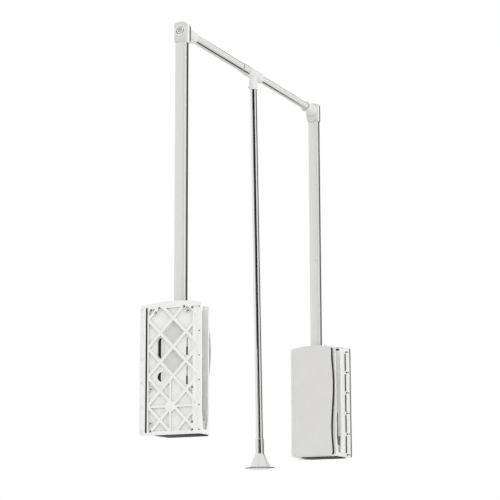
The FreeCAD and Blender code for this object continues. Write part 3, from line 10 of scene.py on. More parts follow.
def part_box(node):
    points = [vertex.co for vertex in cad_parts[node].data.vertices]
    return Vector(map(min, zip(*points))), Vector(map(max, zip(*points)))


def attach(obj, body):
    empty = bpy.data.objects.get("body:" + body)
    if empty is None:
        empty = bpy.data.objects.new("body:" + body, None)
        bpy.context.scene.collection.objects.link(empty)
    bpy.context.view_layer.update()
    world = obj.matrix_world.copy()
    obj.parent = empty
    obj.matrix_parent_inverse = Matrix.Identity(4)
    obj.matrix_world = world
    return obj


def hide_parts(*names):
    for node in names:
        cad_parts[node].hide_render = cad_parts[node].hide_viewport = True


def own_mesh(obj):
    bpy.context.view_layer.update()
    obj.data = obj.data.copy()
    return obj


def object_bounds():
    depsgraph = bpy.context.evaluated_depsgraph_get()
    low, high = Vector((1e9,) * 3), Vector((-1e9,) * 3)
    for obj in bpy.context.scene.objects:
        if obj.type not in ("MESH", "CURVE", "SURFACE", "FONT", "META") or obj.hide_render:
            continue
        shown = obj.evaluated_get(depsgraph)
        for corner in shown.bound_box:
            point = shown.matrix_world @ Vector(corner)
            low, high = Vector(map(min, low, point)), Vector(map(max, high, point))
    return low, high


bl_info = {
    "name": "Pull down closet rod",
    "version": (1, 0, 0),
    "blender": (4, 5, 0),
    "location": "3D View > Sidebar > Closet rod",
    "description": "Finishes and fine shapes of a wardrobe lift with its hanging bar and pull rod",
    "category": "Object",
}

# Metres, +Z up, the user stands on the -Y side. The origin is on the left cabinet wall, on the axis that
# both arms turn about. A unit's shapes are drawn for the left wall, where x is the depth from the wall,
# and mirrored for the right one.
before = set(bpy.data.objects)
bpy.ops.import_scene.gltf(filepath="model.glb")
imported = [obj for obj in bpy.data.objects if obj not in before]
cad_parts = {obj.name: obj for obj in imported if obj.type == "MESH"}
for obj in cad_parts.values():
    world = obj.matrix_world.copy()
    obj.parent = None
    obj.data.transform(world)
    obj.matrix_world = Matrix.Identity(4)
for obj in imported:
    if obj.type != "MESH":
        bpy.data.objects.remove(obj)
CAD_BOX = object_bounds()
WIDTH = CAD_BOX[1][0] + CAD_BOX[0][0]
MIDDLE = WIDTH / 2
BAR_HEIGHT = (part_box("outer_bar")[0].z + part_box("outer_bar")[1].z) / 2
ROD_LEAN_DEGREES = 0.85
SIDES = ("left", "right")
X, Y, Z = 0, 1, 2
AROUND = 96
MERGE = 2e-6


# Points and faces

def full_turn(count):
    """Angles that divide a whole turn evenly."""
    return np.arange(count) * 2 * np.pi / count


def filleted(corners, radii, steps=6):
    """A closed polygon whose corners are arcs: each arc touches both sides of its corner, its centre lies on
    the corner's bisector at radius / sin(half the corner's angle), and its points divide the turn evenly."""
    corners = np.asarray(corners, float)
    radii = np.broadcast_to(np.asarray(radii, float), len(corners))
    before = np.roll(corners, 1, 0) - corners
    after = np.roll(corners, -1, 0) - corners
    before /= np.linalg.norm(before, axis=1)[:, None]
    after /= np.linalg.norm(after, axis=1)[:, None]
    half = np.arccos(np.clip((before * after).sum(1), -1, 1)) / 2
    bisector = before + after
    bisector /= np.maximum(np.linalg.norm(bisector, axis=1), 1e-9)[:, None]
    centre = corners + bisector * (radii / np.sin(half))[:, None]
    start = corners + before * (radii / np.tan(half))[:, None] - centre
    end = corners + after * (radii / np.tan(half))[:, None] - centre
    first = np.arctan2(start[:, 1], start[:, 0])
    turn = np.arctan2(start[:, 0] * end[:, 1] - start[:, 1] * end[:, 0], (start * end).sum(1))
    angle = first[:, None] + turn[:, None] * np.linspace(0, 1, steps + 1)
    arcs = np.stack([np.cos(angle), np.sin(angle)], -1) * radii[:, None, None]
    return (centre[:, None] + arcs).reshape(-1, 2)


def grid_faces(rows, columns, round_rows=False, round_columns=False):
    """Quads between neighbouring points of a rows x columns grid, with the last row or column joined to the
    first where asked."""
    row = np.arange(rows if round_rows else rows - 1)[:, None]
    column = np.arange(columns if round_columns else columns - 1)[None, :]
    next_column = (column + 1) % columns
    above = row * columns
    below = ((row + 1) % rows) * columns
    corners = [above + column, above + next_column, below + next_column, below + column]
    return np.stack(corners, -1).reshape(-1, 4)


def lofted(loops, ends):
    """A surface through loops of equally many points. With "ring" the last loop runs on to the first, with
    "capped" both ends are closed by a face."""
    loops = np.asarray(loops, float)
    count = loops.shape[1]
    faces = grid_faces(len(loops), count, ends == "ring", True).tolist()
    if ends == "capped":
        last = (len(loops) - 1) * count
        faces += [list(range(count))[::-1], list(range(last, last + count))]
    return loops.reshape(-1, 3), faces


def turned(profile, centre, axis, count=AROUND, closed=True):
    """A surface of revolution: the point (r, t) of the profile goes to r cos(a), r sin(a) across the axis
    and t along it. A closed profile runs on from its last point to its first."""
    profile = np.asarray(profile, float)
    angle = full_turn(count)
    points = np.zeros((len(profile), count, 3))
    points[..., axis] = profile[:, 1, None]
    points[..., (axis + 1) % 3] = profile[:, 0, None] * np.cos(angle)
    points[..., (axis + 2) % 3] = profile[:, 0, None] * np.sin(angle)
    faces = grid_faces(len(profile), count, closed, True)
    return points.reshape(-1, 3) + np.asarray(centre, float), faces


def leaned(shape):
    """Points drawn below the bar's axis, turned forwards about it by the pull rod's lean and moved to the
    middle of the bar."""
    points, faces = shape
    lean = -math.radians(ROD_LEAN_DEGREES)
    y = points[:, 1] * math.cos(lean) - points[:, 2] * math.sin(lean)
    z = points[:, 1] * math.sin(lean) + points[:, 2] * math.cos(lean)
    return np.stack([points[:, 0], y, z], 1) + (MIDDLE, 0, BAR_HEIGHT), faces


def on_bar(profile):
    """A profile (radius, x) turned about the hanging bar's axis."""
    return turned(profile, (0, 0, BAR_HEIGHT), X)


def on_rod(profile, closed=True):
    """A profile (radius, height from the bar's axis) turned about the pull rod's axis and leaned with it."""
    return leaned(turned(profile, (0, 0, 0), Z, closed=closed))


def joined(parts):
    """Several shapes as one, with the face numbers moved on."""
    points = []
    faces = []
    offset = 0
    for part_points, part_faces in parts:
        points.append(part_points)
        faces.extend([int(corner) + offset for corner in face] for face in part_faces)
        offset += len(part_points)
    return np.concatenate(points), faces


def placed(side, shape):
    """The shape itself for the left unit. For the right one x goes to the cabinet's width less x."""
    points, faces = shape
    if side == "left":
        return points, faces
    return points * (-1, 1, 1) + (WIDTH, 0, 0), faces


# Pieces

def make_piece(name, shape, look, slot, body, nodes=(), sharp_degrees=35):
    """A mesh object from points and faces, its doubles merged, its faces turned outwards and its edges sharp
    above an angle."""
    points, faces = shape
    mesh = bpy.data.meshes.new(name)
    mesh.from_pydata(np.asarray(points).tolist(), [], [list(face) for face in faces])
    draft = bmesh.new()
    draft.from_mesh(mesh)
    bmesh.ops.remove_doubles(draft, verts=draft.verts, dist=MERGE)
    bmesh.ops.dissolve_degenerate(draft, edges=draft.edges, dist=1e-7)
    bmesh.ops.recalc_face_normals(draft, faces=draft.faces)
    draft.to_mesh(mesh)
    draft.free()
    mesh.shade_smooth()
    mesh.set_sharp_from_angle(angle=math.radians(sharp_degrees))
    piece = bpy.data.objects.new(name, mesh)
    bpy.context.scene.collection.objects.link(piece)
    mesh.materials.append(LOOKS[look])
    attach(piece, body)
    if nodes:
        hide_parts(*nodes)
    return piece


def frame_copy(node, name, look, body):
    """A copy of a part from the frame, with its doubles merged and each flat area made one face."""
    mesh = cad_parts[node].data.copy()
    draft = bmesh.new()
    draft.from_mesh(mesh)
    bmesh.ops.remove_doubles(draft, verts=draft.verts, dist=MERGE)
    bmesh.ops.dissolve_limit(draft, angle_limit=math.radians(0.5), verts=draft.verts, edges=draft.edges)
    draft.to_mesh(mesh)
    draft.free()
    if "custom_normal" in mesh.attributes:
        mesh.attributes.remove(mesh.attributes["custom_normal"])
    mesh.materials.clear()
    mesh.materials.append(LOOKS[look])
    mesh.shade_smooth()
    piece = bpy.data.objects.new(name, mesh)
    bpy.context.scene.collection.objects.link(piece)
    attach(piece, body)
    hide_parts(node)
    return piece


def soften_edges(piece, width, segments):
    """Round off every edge of a piece that is sharper than 40 degrees."""
    bevel = piece.modifiers.new("rounded edges", "BEVEL")
    bevel.width = width
    bevel.segments = segments
    bevel.limit_method = "ANGLE"
    bevel.angle_limit = math.radians(40)
    bevel.harden_normals = True


def melt(piece, voxel, passes):
    """Rebuild a piece on a fine grid and smooth it, so that its joints flow together as in a casting."""
    remesh = piece.modifiers.new("grid", "REMESH")
    remesh.mode = "VOXEL"
    remesh.voxel_size = voxel
    remesh.use_smooth_shade = True
    smooth = piece.modifiers.new("soft joints", "SMOOTH")
    smooth.factor = 0.5
    smooth.iterations = passes


# Patterns for the finishes

def new_finish(name, colour, metal, rough):
    """A material with a Principled shader, and the parts that its pattern nodes hang on."""
    look = bpy.data.materials.new(name)
    look.use_nodes = True
    nodes, links = look.node_tree.nodes, look.node_tree.links
    shader = nodes["Principled BSDF"]
    shader.inputs["Base Color"].default_value = (*colour, 1)
    shader.inputs["Metallic"].default_value = metal
    shader.inputs["Roughness"].default_value = rough
    place = nodes.new("ShaderNodeTexCoord")
    return look, nodes, links, shader, place.outputs["Object"]


def pattern_parts(look):
    """A finish's nodes and links, and the object coordinates that its patterns hang on."""
    nodes, links = look.node_tree.nodes, look.node_tree.links
    place = next(node for node in nodes if node.type == "TEX_COORD")
    return nodes, links, place.outputs["Object"]


def noise(nodes, links, place, scale, detail, stretch=(1, 1, 1)):
    """Noise on object coordinates, in patterns about 1 / scale metres across, drawn out along the axes whose
    stretch is small."""
    mapping = nodes.new("ShaderNodeMapping")
    mapping.inputs["Scale"].default_value = stretch
    pattern = nodes.new("ShaderNodeTexNoise")
    pattern.inputs["Scale"].default_value = scale
    pattern.inputs["Detail"].default_value = detail
    links.new(place, mapping.inputs["Vector"])
    links.new(mapping.outputs["Vector"], pattern.inputs["Vector"])
    return pattern.outputs["Fac"]


def spread(nodes, links, value, low, high):
    """The pattern's 0.3 to 0.7 taken to low to high."""
    ranged = nodes.new("ShaderNodeMapRange")
    ranged.inputs["From Min"].default_value = 0.3
    ranged.inputs["From Max"].default_value = 0.7
    ranged.inputs["To Min"].default_value = low
    ranged.inputs["To Max"].default_value = high
    links.new(value, ranged.inputs["Value"])
    return ranged.outputs["Result"]


def tint(nodes, links, value, dark, light):
    """A colour between dark and light by the pattern."""
    mix = nodes.new("ShaderNodeMix")
    mix.data_type = "RGBA"
    mix.inputs["A"].default_value = (*dark, 1)
    mix.inputs["B"].default_value = (*light, 1)
    links.new(spread(nodes, links, value, 0, 1), mix.inputs["Factor"])
    return mix.outputs["Result"]


def dented(nodes, links, shader, value, height):
    """A bump of the given height in metres on the shader's normal."""
    bump = nodes.new("ShaderNodeBump")
    bump.inputs["Strength"].default_value = 1
    bump.inputs["Distance"].default_value = height
    links.new(value, bump.inputs["Height"])
    links.new(bump.outputs["Normal"], shader.inputs["Normal"])


def folded(nodes, links, value, middle):
    """How far a value is from a middle, on either side."""
    shifted = nodes.new("ShaderNodeMath")
    shifted.operation = "SUBTRACT"
    shifted.inputs[1].default_value = middle
    size = nodes.new("ShaderNodeMath")
    size.operation = "ABSOLUTE"
    links.new(value, shifted.inputs[0])
    links.new(shifted.outputs[0], size.inputs[0])
    return size.outputs[0]


def band(nodes, links, place, axis, middles, half, soft):
    """One inside a band about each of one or two middles on an axis, nought outside, with a soft step at the
    half breadth. Two middles are first folded onto each other about the place halfway between them."""
    split = nodes.new("ShaderNodeSeparateXYZ")
    links.new(place, split.inputs[0])
    value = folded(nodes, links, split.outputs[axis], sum(middles) / len(middles))
    if len(middles) == 2:
        value = folded(nodes, links, value, (middles[1] - middles[0]) / 2)
    step = nodes.new("ShaderNodeMapRange")
    step.interpolation_type = "SMOOTHSTEP"
    step.inputs["From Min"].default_value = half - soft
    step.inputs["From Max"].default_value = half + soft
    step.inputs["To Min"].default_value = 1
    step.inputs["To Max"].default_value = 0
    links.new(value, step.inputs["Value"])
    return step.outputs["Result"]


def both(nodes, links, one, other):
    """The product of two shares."""
    product = nodes.new("ShaderNodeMath")
    product.operation = "MULTIPLY"
    links.new(one, product.inputs[0])
    links.new(other, product.inputs[1])
    return product.outputs[0]


def streaked(look, share, colour):
    """Lay a second colour over a finish wherever the share is one."""
    nodes, links = look.node_tree.nodes, look.node_tree.links
    socket = nodes["Principled BSDF"].inputs["Base Color"]
    mix = nodes.new("ShaderNodeMix")
    mix.data_type = "RGBA"
    mix.inputs["B"].default_value = (*colour, 1)
    links.new(share, mix.inputs["Factor"])
    links.new(socket.links[0].from_socket, mix.inputs["A"])
    links.new(mix.outputs["Result"], socket)


# Finishes

ALONG_X = (0.02, 1, 1)
ALONG_Z = (1, 1, 0.02)


def moulded(name, colour, rough, texture=2600, height=2e-5, shade=0.03):
    """Injection moulded plastic: a fine spark-eroded skin, faint flow shading in the colour and patches of
    gloss."""
    look, nodes, links, shader, place = new_finish(name, colour, 0, rough)
    flow = noise(nodes, links, place, scale=22, detail=2)
    gloss = noise(nodes, links, place, scale=60, detail=4)
    skin = noise(nodes, links, place, scale=texture, detail=2)
    dark = tuple(part * (1 - shade) for part in colour)
    links.new(tint(nodes, links, flow, dark, colour), shader.inputs["Base Color"])
    links.new(spread(nodes, links, gloss, rough - 0.05, rough + 0.05), shader.inputs["Roughness"])
    dented(nodes, links, shader, skin, height)
    return look


def drawn_metal(name, colour, rough, stretch, height=4e-6, shade=0.06, metal=1.0):
    """Metal with fine lines along one axis: noise drawn out along it drives colour, gloss and a bump."""
    look, nodes, links, shader, place = new_finish(name, colour, metal, rough)
    lines = noise(nodes, links, place, scale=1500, detail=3, stretch=stretch)
    gloss = noise(nodes, links, place, scale=90, detail=4)
    dark = tuple(part * (1 - shade) for part in colour)
    links.new(tint(nodes, links, lines, dark, colour), shader.inputs["Base Color"])
    links.new(spread(nodes, links, gloss, rough * 0.8, rough * 1.2), shader.inputs["Roughness"])
    dented(nodes, links, shader, lines, height)
    return look


def white_housing():
    """Bright white of plates and shells. The right plate's front edge and the three levels of the sunk
    lattice panel are darker, as they lie in shade."""
    look = moulded("white_housing", (0.92, 0.92, 0.91), 0.42)
    nodes, links, place = pattern_parts(look)
    crisp = 0.0001
    right_plate = band(nodes, links, place, X, (WIDTH,), 0.010, crisp)
    front_edge = band(nodes, links, place, Y, (-0.0695,), 0.0028, crisp)
    streaked(look, both(nodes, links, right_plate, front_edge), (0.13, 0.13, 0.13))
    panel = band(nodes, links, place, Y, (0,), 0.0515, crisp)
    for depth, half, shade in ((0.0026, 0.0017, 0.62), (0.005, 0.0006, 0.91), (0.008, 0.0006, 0.73)):
        level = band(nodes, links, place, X, (depth, WIDTH - depth), half, crisp)
        streaked(look, both(nodes, links, level, panel), (shade, shade, shade * 0.99))
    return look


def grey_cover():
    """Smooth grey moulding of the inner covers."""
    return moulded("grey_cover", (0.75, 0.745, 0.73), 0.40)


def white_fitting():
    """Glossier white of sockets, T-fitting and disc."""
    return moulded("white_fitting", (0.80, 0.80, 0.79), 0.32, texture=1800, height=1.2e-5)


def chrome_tube():
    """Chrome of the level tubes."""
    return drawn_metal("chrome_tube", (0.74, 0.74, 0.73), 0.07, ALONG_X, height=3e-7, shade=0.03)


def arm_steel():
    """Satin steel of the arms, with a painted reflection: a dark line up the front and the rear of each
    tube.
    """
    look = drawn_metal("arm_steel", (0.79, 0.79, 0.78), 0.34, ALONG_Z, height=4e-7, shade=0.03, metal=0.25)
    nodes, links, place = pattern_parts(look)
    lines = band(nodes, links, place, X, (0.0428, WIDTH - 0.0415), 0.0042, 0.0006)
    reflection_streak_sides = band(nodes, links, place, Y, (-0.0135, 0.0135), 0.0030, 0.0006)
    # painted reflection: near-black lines laid into the steel's colour on each tube's front and rear
    streaked(look, both(nodes, links, lines, reflection_streak_sides), (0.012, 0.012, 0.013))
    return look


def machined_steel():
    """Axles, pinions and racks."""
    return drawn_metal("machined_steel", (0.55, 0.56, 0.58), 0.3, (0.05, 1, 1))


def screw_steel():
    """Plated screws, with an even grain."""
    return drawn_metal("screw_steel", (0.78, 0.78, 0.77), 0.35, (1, 1, 1), height=1e-6)


def spring_steel():
    """Dark oiled wire of the return springs."""
    return drawn_metal("spring_steel", (0.35, 0.36, 0.38), 0.35, (1, 1, 0.2))


def dark_polymer():
    """Black moulded parts."""
    return moulded("dark_polymer", (0.03, 0.03, 0.032), 0.45, texture=2000, shade=0.2)


def bush_polymer():
    """Cream plain bearings."""
    return moulded("bush_polymer", (0.72, 0.71, 0.65), 0.4)


def stop_rubber():
    """Grey rubber of the arms' stops."""
    return moulded("stop_rubber", (0.60, 0.60, 0.59), 0.7, texture=1500, height=4e-5, shade=0.1)


def chrome_upright():
    """Chrome of the pull rod, with its lines running up it."""
    return drawn_metal("chrome_upright", (0.80, 0.80, 0.79), 0.06, ALONG_Z, height=3e-7, shade=0.03)


def grip_chrome():
    """Softer chrome of the bell grip."""
    return drawn_metal("grip_chrome", (0.76, 0.76, 0.75), 0.14, (1, 1, 0.1), height=4e-7, shade=0.04)


def cap_casting():
    """Grey-white casting of the arm caps, with a painted highlight and a painted reflection: a light and a
    dark line on each cap's front.
    """
    look = moulded("cap_casting", (0.68, 0.68, 0.665), 0.38, texture=1400)
    nodes, links, place = pattern_parts(look)
    front = band(nodes, links, place, Y, (-0.0205,), 0.0085, 0.0002)
    # painted highlight (the light line) and painted reflection (the dark line) on the cap's front
    for left_line, right_line, half, shade in (
        (0.0456, WIDTH - 0.0435, 0.0022, 0.95),
        (0.0530, WIDTH - 0.0365, 0.0030, 0.10),
    ):
        lines = band(nodes, links, place, X, (left_line, right_line), half, 0.0005)
        streaked(look, both(nodes, links, lines, front), (shade, shade, shade))
    return look


def black_ring_and_shade():
    """Matt black of the bell's buffer ring, and of painted shade: cords, strips and dots in gaps, slots and
    windows.
    """
    return moulded("black_ring_and_shade", (0.008, 0.008, 0.008), 0.7, texture=1500, shade=0.2)


FINISHES = (
    white_housing, grey_cover, white_fitting, chrome_tube, arm_steel, machined_steel, screw_steel,
    spring_steel, dark_polymer, bush_polymer, stop_rubber, chrome_upright, grip_chrome, cap_casting,
    black_ring_and_shade,
)
LOOKS = {}


def make_looks():
    """Make the finishes: one for each slot of the frame's parts, and some for single pieces alone."""
    for finish in FINISHES:
        LOOKS[finish.__name__] = finish()


# Settings that a user would change

class RodStudio(bpy.types.PropertyGroup):
    lens: FloatProperty(
        name="Lens", description="Focal length on a 36 mm sensor", default=119.6, min=10, unit="CAMERA")
    daylight: FloatProperty(
        name="Daylight", description="Strength of the even light from all round", default=0.78, min=0)


class RodSprings(bpy.types.PropertyGroup):
    turns: FloatProperty(
        name="Turns", description="Working turns of each return spring", default=15, min=1)


class RodArms(bpy.types.PropertyGroup):
    fullness: FloatProperty(
        name="Fullness", default=7, min=2,
        description="Exponent across the tube's broad faces: 2 is an ellipse, large is a box")
    crown: FloatProperty(
        name="Crown", description="Exponent across its narrow faces: the smaller, the more they bulge",
        default=4, min=2)
    wall: FloatProperty(
        name="Wall", description="Wall of the arm tube", default=0.0015, min=0.0005, unit="LENGTH")


class RodCovers(bpy.types.PropertyGroup):
    wave: FloatProperty(
        name="Wave", description="Height of the waves in the cover's front edge",
        default=0.0026, min=0, unit="LENGTH")
    rear_wave: FloatProperty(
        name="Rear wave", description="Height of the waves in the cover's rear edge",
        default=0.0012, min=0, unit="LENGTH")
    edge: FloatProperty(
        name="Edge", description="Rounding of the cover's face", default=0.0035, min=0, unit="LENGTH")


GROUPS = {
    "rod_studio": RodStudio,
    "rod_springs": RodSprings,
    "rod_arms": RodArms,
    "rod_covers": RodCovers,
}


# Stage

CAMERA_PLACE = (-2.8244, -1.5539, -0.3332)
CAMERA_YAW, CAMERA_PITCH, CAMERA_ROLL = 63.96, 11.27, -0.19
SENSOR = 36
TARGET = Vector((0.375, 0, 0.3))
FLOOR_LEVEL = -1.1
FLOOR_REACH = 6.0


def make_camera(scene, lens):
    """The camera: it looks towards the yaw, from +Y towards +X, and the pitch upwards, and is tilted by the
    roll about that line. All three are in degrees."""
    yaw, pitch, roll = (math.radians(angle) for angle in (CAMERA_YAW, CAMERA_PITCH, CAMERA_ROLL))
    ahead = Vector((math.sin(yaw) * math.cos(pitch), math.cos(yaw) * math.cos(pitch), math.sin(pitch)))
    level = Vector((math.cos(yaw), -math.sin(yaw), 0))
    above = level.cross(ahead)
    right = level * math.cos(roll) + above * math.sin(roll)
    up = above * math.cos(roll) - level * math.sin(roll)
    camera = bpy.data.objects.new("camera", bpy.data.cameras.new("camera"))
    camera.data.lens = lens
    camera.data.sensor_width = SENSOR
    camera.data.clip_end = 50
    turn = Matrix((right, up, -ahead)).transposed().to_4x4()
    camera.matrix_world = Matrix.Translation(CAMERA_PLACE) @ turn
    scene.collection.objects.link(camera)
    scene.camera = camera


def make_room(scene, daylight):
    """The surroundings: pure white to the camera, in mirrors and through glass, and as bright as the
    daylight setting for everything that they light."""
    world = bpy.data.worlds.new("pale room")
    world.use_nodes = True
    scene.world = world
    nodes, links = world.node_tree.nodes, world.node_tree.links
    nodes.clear()
    room = nodes.new("ShaderNodeBackground")
    room.inputs["Color"].default_value = (1, 1, 1, 1)
    room.inputs["Strength"].default_value = daylight
    white = nodes.new("ShaderNodeBackground")
    white.inputs["Color"].default_value = (1, 1, 1, 1)
    path = nodes.new("ShaderNodeLightPath")
    share = path.outputs["Is Camera Ray"]
    for ray in ("Is Glossy Ray", "Is Transmission Ray"):
        either = nodes.new("ShaderNodeMath")
        either.operation = "MAXIMUM"
        links.new(share, either.inputs[0])
        links.new(path.outputs[ray], either.inputs[1])
        share = either.outputs[0]
    mix = nodes.new("ShaderNodeMixShader")
    links.new(share, mix.inputs["Fac"])
    links.new(room.outputs[0], mix.inputs[1])
    links.new(white.outputs[0], mix.inputs[2])
    output = nodes.new("ShaderNodeOutputWorld")
    links.new(mix.outputs[0], output.inputs["Surface"])


def make_lamps(scene):
    """Three square lamps that face the object and don't show in mirrors: name, place, breadth and watts."""
    for name, place, breadth, power in (
        ("key lamp", (-0.9, -3.1, 1.4), 2.4, 22),
        ("side lamp", (-2.5, -2.2, 0.9), 2.0, 20),
        ("back lamp", (2.2, 2.4, 1.8), 2.4, 12),
    ):
        lamp = bpy.data.lights.new(name, "AREA")
        lamp.size = breadth
        lamp.energy = power
        stand = bpy.data.objects.new(name, lamp)
        stand.location = place
        stand.rotation_euler = (TARGET - Vector(place)).to_track_quat("-Z", "Y").to_euler()
        stand.visible_glossy = False
        scene.collection.objects.link(stand)


def make_cards(scene):
    """Black cards that show in mirrors alone and draw the dark lines of the chrome: name, azimuths,
    elevations, distance and the point that they stand round."""
    black = new_finish("black_card", (0.004, 0.004, 0.004), 0, 1)[0]
    bar_middle = Vector((MIDDLE, 0, BAR_HEIGHT))
    for name, azimuths, elevations, distance, centre in (
        ("card_behind_the_camera", (160, 236), (-8, 32), 5.0, TARGET),
        ("card_at_the_front", (-80, -38), (-5, 32), 5.0, TARGET),
        ("low_card", (-19, 2), (-38, -25), 3.0, bar_middle),
        ("high_card", (3, 24), (19, 34), 3.0, bar_middle),
    ):
        mesh = sphere_patch(name, azimuths, elevations, distance, centre)
        mesh.materials.append(black)
        card = bpy.data.objects.new(name, mesh)
        scene.collection.objects.link(card)
        card.visible_camera = False
        card.visible_diffuse = False
        card.visible_shadow = False
        card.visible_transmission = False


def sphere_patch(name, azimuths, elevations, distance, centre, count=12):
    """A patch of a sphere about a centre, between two azimuths from +X towards +Y and two elevations, in
    degrees."""
    azimuth, elevation = np.meshgrid(
        np.radians(np.linspace(*azimuths, count)), np.radians(np.linspace(*elevations, count)))
    level = np.cos(elevation)
    points = np.stack([level * np.cos(azimuth), level * np.sin(azimuth), np.sin(elevation)], -1)
    points = points.reshape(-1, 3) * distance + np.array(centre)
    mesh = bpy.data.meshes.new(name)
    mesh.from_pydata(points.tolist(), [], grid_faces(count, count).tolist())
    return mesh


def make_floor(scene):
    """A pale floor below the object, which the camera doesn't see."""
    signs = ((-1, -1), (1, -1), (1, 1), (-1, 1))
    corners = [(x * FLOOR_REACH, y * FLOOR_REACH, FLOOR_LEVEL) for x, y in signs]
    mesh = bpy.data.meshes.new("floor")
    mesh.from_pydata(corners, [], [(0, 1, 2, 3)])
    mesh.materials.append(moulded("pale_floor", (0.9, 0.9, 0.9), 0.8))
    floor = bpy.data.objects.new("floor", mesh)
    scene.collection.objects.link(floor)
    floor.visible_camera = False


class RodStage(bpy.types.Operator):
    """Set the camera, the lamps, the pale surroundings, the cards and the floor"""
    bl_idname = "closetrod.stage"
    bl_label = "Stage"

    def execute(self, context):
        scene = context.scene
        scene.view_settings.view_transform = "Standard"
        make_camera(scene, scene.rod_studio.lens)
        make_room(scene, scene.rod_studio.daylight)
        make_lamps(scene)
        make_cards(scene)
        make_floor(scene)
        return {"FINISHED"}


class RodFinishes(bpy.types.Operator):
    """Give every part that is kept from the frame its finish"""
    bl_idname = "closetrod.finishes"
    bl_label = "Finishes"

    def execute(self, context):
        make_looks()
        for name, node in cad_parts.items():
            slots = [material.name.split(".")[0] for material in node.data.materials if material]
            if not slots or slots[0] not in LOOKS:
                raise RuntimeError(f"{name} has no slot that a finish is made for: {slots}")
            node.data.materials.clear()
            node.data.materials.append(LOOKS[slots[0]])
        return {"FINISHED"}


# Return springs

class RodSpringCoils(bpy.types.Operator):
    """Wind the two return springs of each housing"""
    bl_idname = "closetrod.springs"
    bl_label = "Return springs"

    def execute(self, context):
        turns = context.scene.rod_springs.turns
        for side in SIDES:
            node = f"{side}_return_springs"
            piece = make_piece(
                f"{side}_spring_coils", spring_pair(*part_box(node), turns), "spring_steel", "spring_steel",
                f"{side}_housing", (node,))
            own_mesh(piece)
        return {"FINISHED"}


def spring_pair(low, high, turns):
    """Two coils side by side, which fill the box of the springs' solids."""
    wire = 0.001
    outer = (high.x - low.x) / 2
    x = (low.x + high.x) / 2
    return joined(
        coil(x, y, low.z + wire, high.z - wire, outer - wire, wire, turns)
        for y in (low.y + outer, high.y - outer))


def coil(x, y, bottom, top, radius, wire, turns):
    """A round wire along a helix: the height runs evenly over the working turns and stays level for one
    closed turn at each end. The wire's circle lies in the plane through the helix's axis."""
    per_turn, around = 28, 8
    angle = np.linspace(0, 2 * np.pi * (turns + 2), int(per_turn * (turns + 2)))
    share = np.clip((angle - 2 * np.pi) / (2 * np.pi * turns), 0, 1)
    height = bottom + share * (top - bottom)
    outward = np.stack([np.cos(angle), np.sin(angle), np.zeros_like(angle)], 1)
    upward = np.array([0, 0, 1.0])
    line = np.array([x, y, 0]) + outward * radius + height[:, None] * upward
    section = full_turn(around)[None, :, None]
    circle = np.cos(section) * outward[:, None] + np.sin(section) * upward
    return lofted(line[:, None] + circle * wire, "capped")


# Arm tubes

class RodArmTubes(bpy.types.Operator):
    """Form the two arm tubes with slightly crowned faces"""
    bl_idname = "closetrod.arms"
    bl_label = "Arm tubes"

    def execute(self, context):
        for side in SIDES:
            node = f"{side}_arm_tube"
            make_piece(
                f"{side}_arm_profile", arm_tube(*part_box(node), context.scene.rod_arms),
                "arm_steel", "arm_steel", f"{side}_arm", (node,))
        return {"FINISHED"}


def arm_tube(low, high, sizes):
    """A rounded rectangular tube that fills a box: superellipses outside and inside, eased outer rims, and a
    loop beside each rim that keeps the long walls' normals straight."""
    middle = (low + high) / 2
    half = (high - low) / 2
    outer = superellipse(half.x, half.y, sizes.crown, sizes.fullness)
    inner = superellipse(half.x - sizes.wall, half.y - sizes.wall, sizes.crown, sizes.fullness)
    ease = 0.0004
    eased = outer * (1 - ease / half.x)
    rings = (
        (eased, low.z), (outer, low.z + ease), (outer, low.z + 3 * ease),
        (outer, high.z - 3 * ease), (outer, high.z - ease), (eased, high.z),
        (inner, high.z), (inner, low.z),
    )
    return lofted([level_loop(outline, middle, height) for outline, height in rings], "ring")


def superellipse(half_x, half_y, power_x, power_y):
    """|x / a|^p + |y / b|^q = 1 by an angle t: x = a sgn(cos t) |cos t|^(2/p), and y likewise by b, sine and
    q."""
    cosine = np.cos(full_turn(AROUND))
    sine = np.sin(full_turn(AROUND))
    x = half_x * np.sign(cosine) * np.abs(cosine) ** (2 / power_x)
    y = half_y * np.sign(sine) * np.abs(sine) ** (2 / power_y)
    return np.stack([x, y], 1)


def level_loop(outline, middle, height):
    """An outline of (x, y) points about a middle, at one height."""
    return np.column_stack([outline + (middle.x, middle.y), np.full(len(outline), height)])


# Bar and pull rod

class RodTubes(bpy.types.Operator):
    """Turn the telescopic bar, its stop collar and the pull rod"""
    bl_idname = "closetrod.tubes"
    bl_label = "Bar and pull rod"

    def execute(self, context):
        for node, body, curl in (("outer_bar", "left_arm", 0.0006), ("inner_bar", "right_arm", 0.0004)):
            make_piece(
                f"{node}_tube", on_bar(bar_profile(node, curl)), "chrome_tube", "chrome_tube",
                body, (node,))
        make_piece(
            "stop_collar_ring", on_bar(collar_profile()), "chrome_tube", "chrome_tube",
            "left_arm", ("stop_collar",))
        make_piece(
            "pull_rod_tube", on_rod(pull_rod_profile()), "chrome_upright", "chrome_tube",
            "hanging_rod", ("pull_rod",))
        return {"FINISHED"}


def bar_profile(node, curl):
    """One of the bar's two tubes, as long and as thick as its solid, with a wall of 1 mm."""
    low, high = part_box(node)
    radius = (high.z - low.z) / 2
    return tube_profile(low.x, high.x, radius, radius - 0.001, curl)


def collar_profile():
    """The stop collar, with its bore just wider than the outer tube."""
    low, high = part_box("stop_collar")
    return tube_profile(low.x, high.x, (high.z - low.z) / 2, 0.010025, 0.0003)


def pull_rod_profile():
    """The pull rod's tube, from its seat in the bell to the T-fitting."""
    bottom, top = -0.837, -0.014
    return tube_profile(bottom, top, 0.008, 0.007, 0.0004)


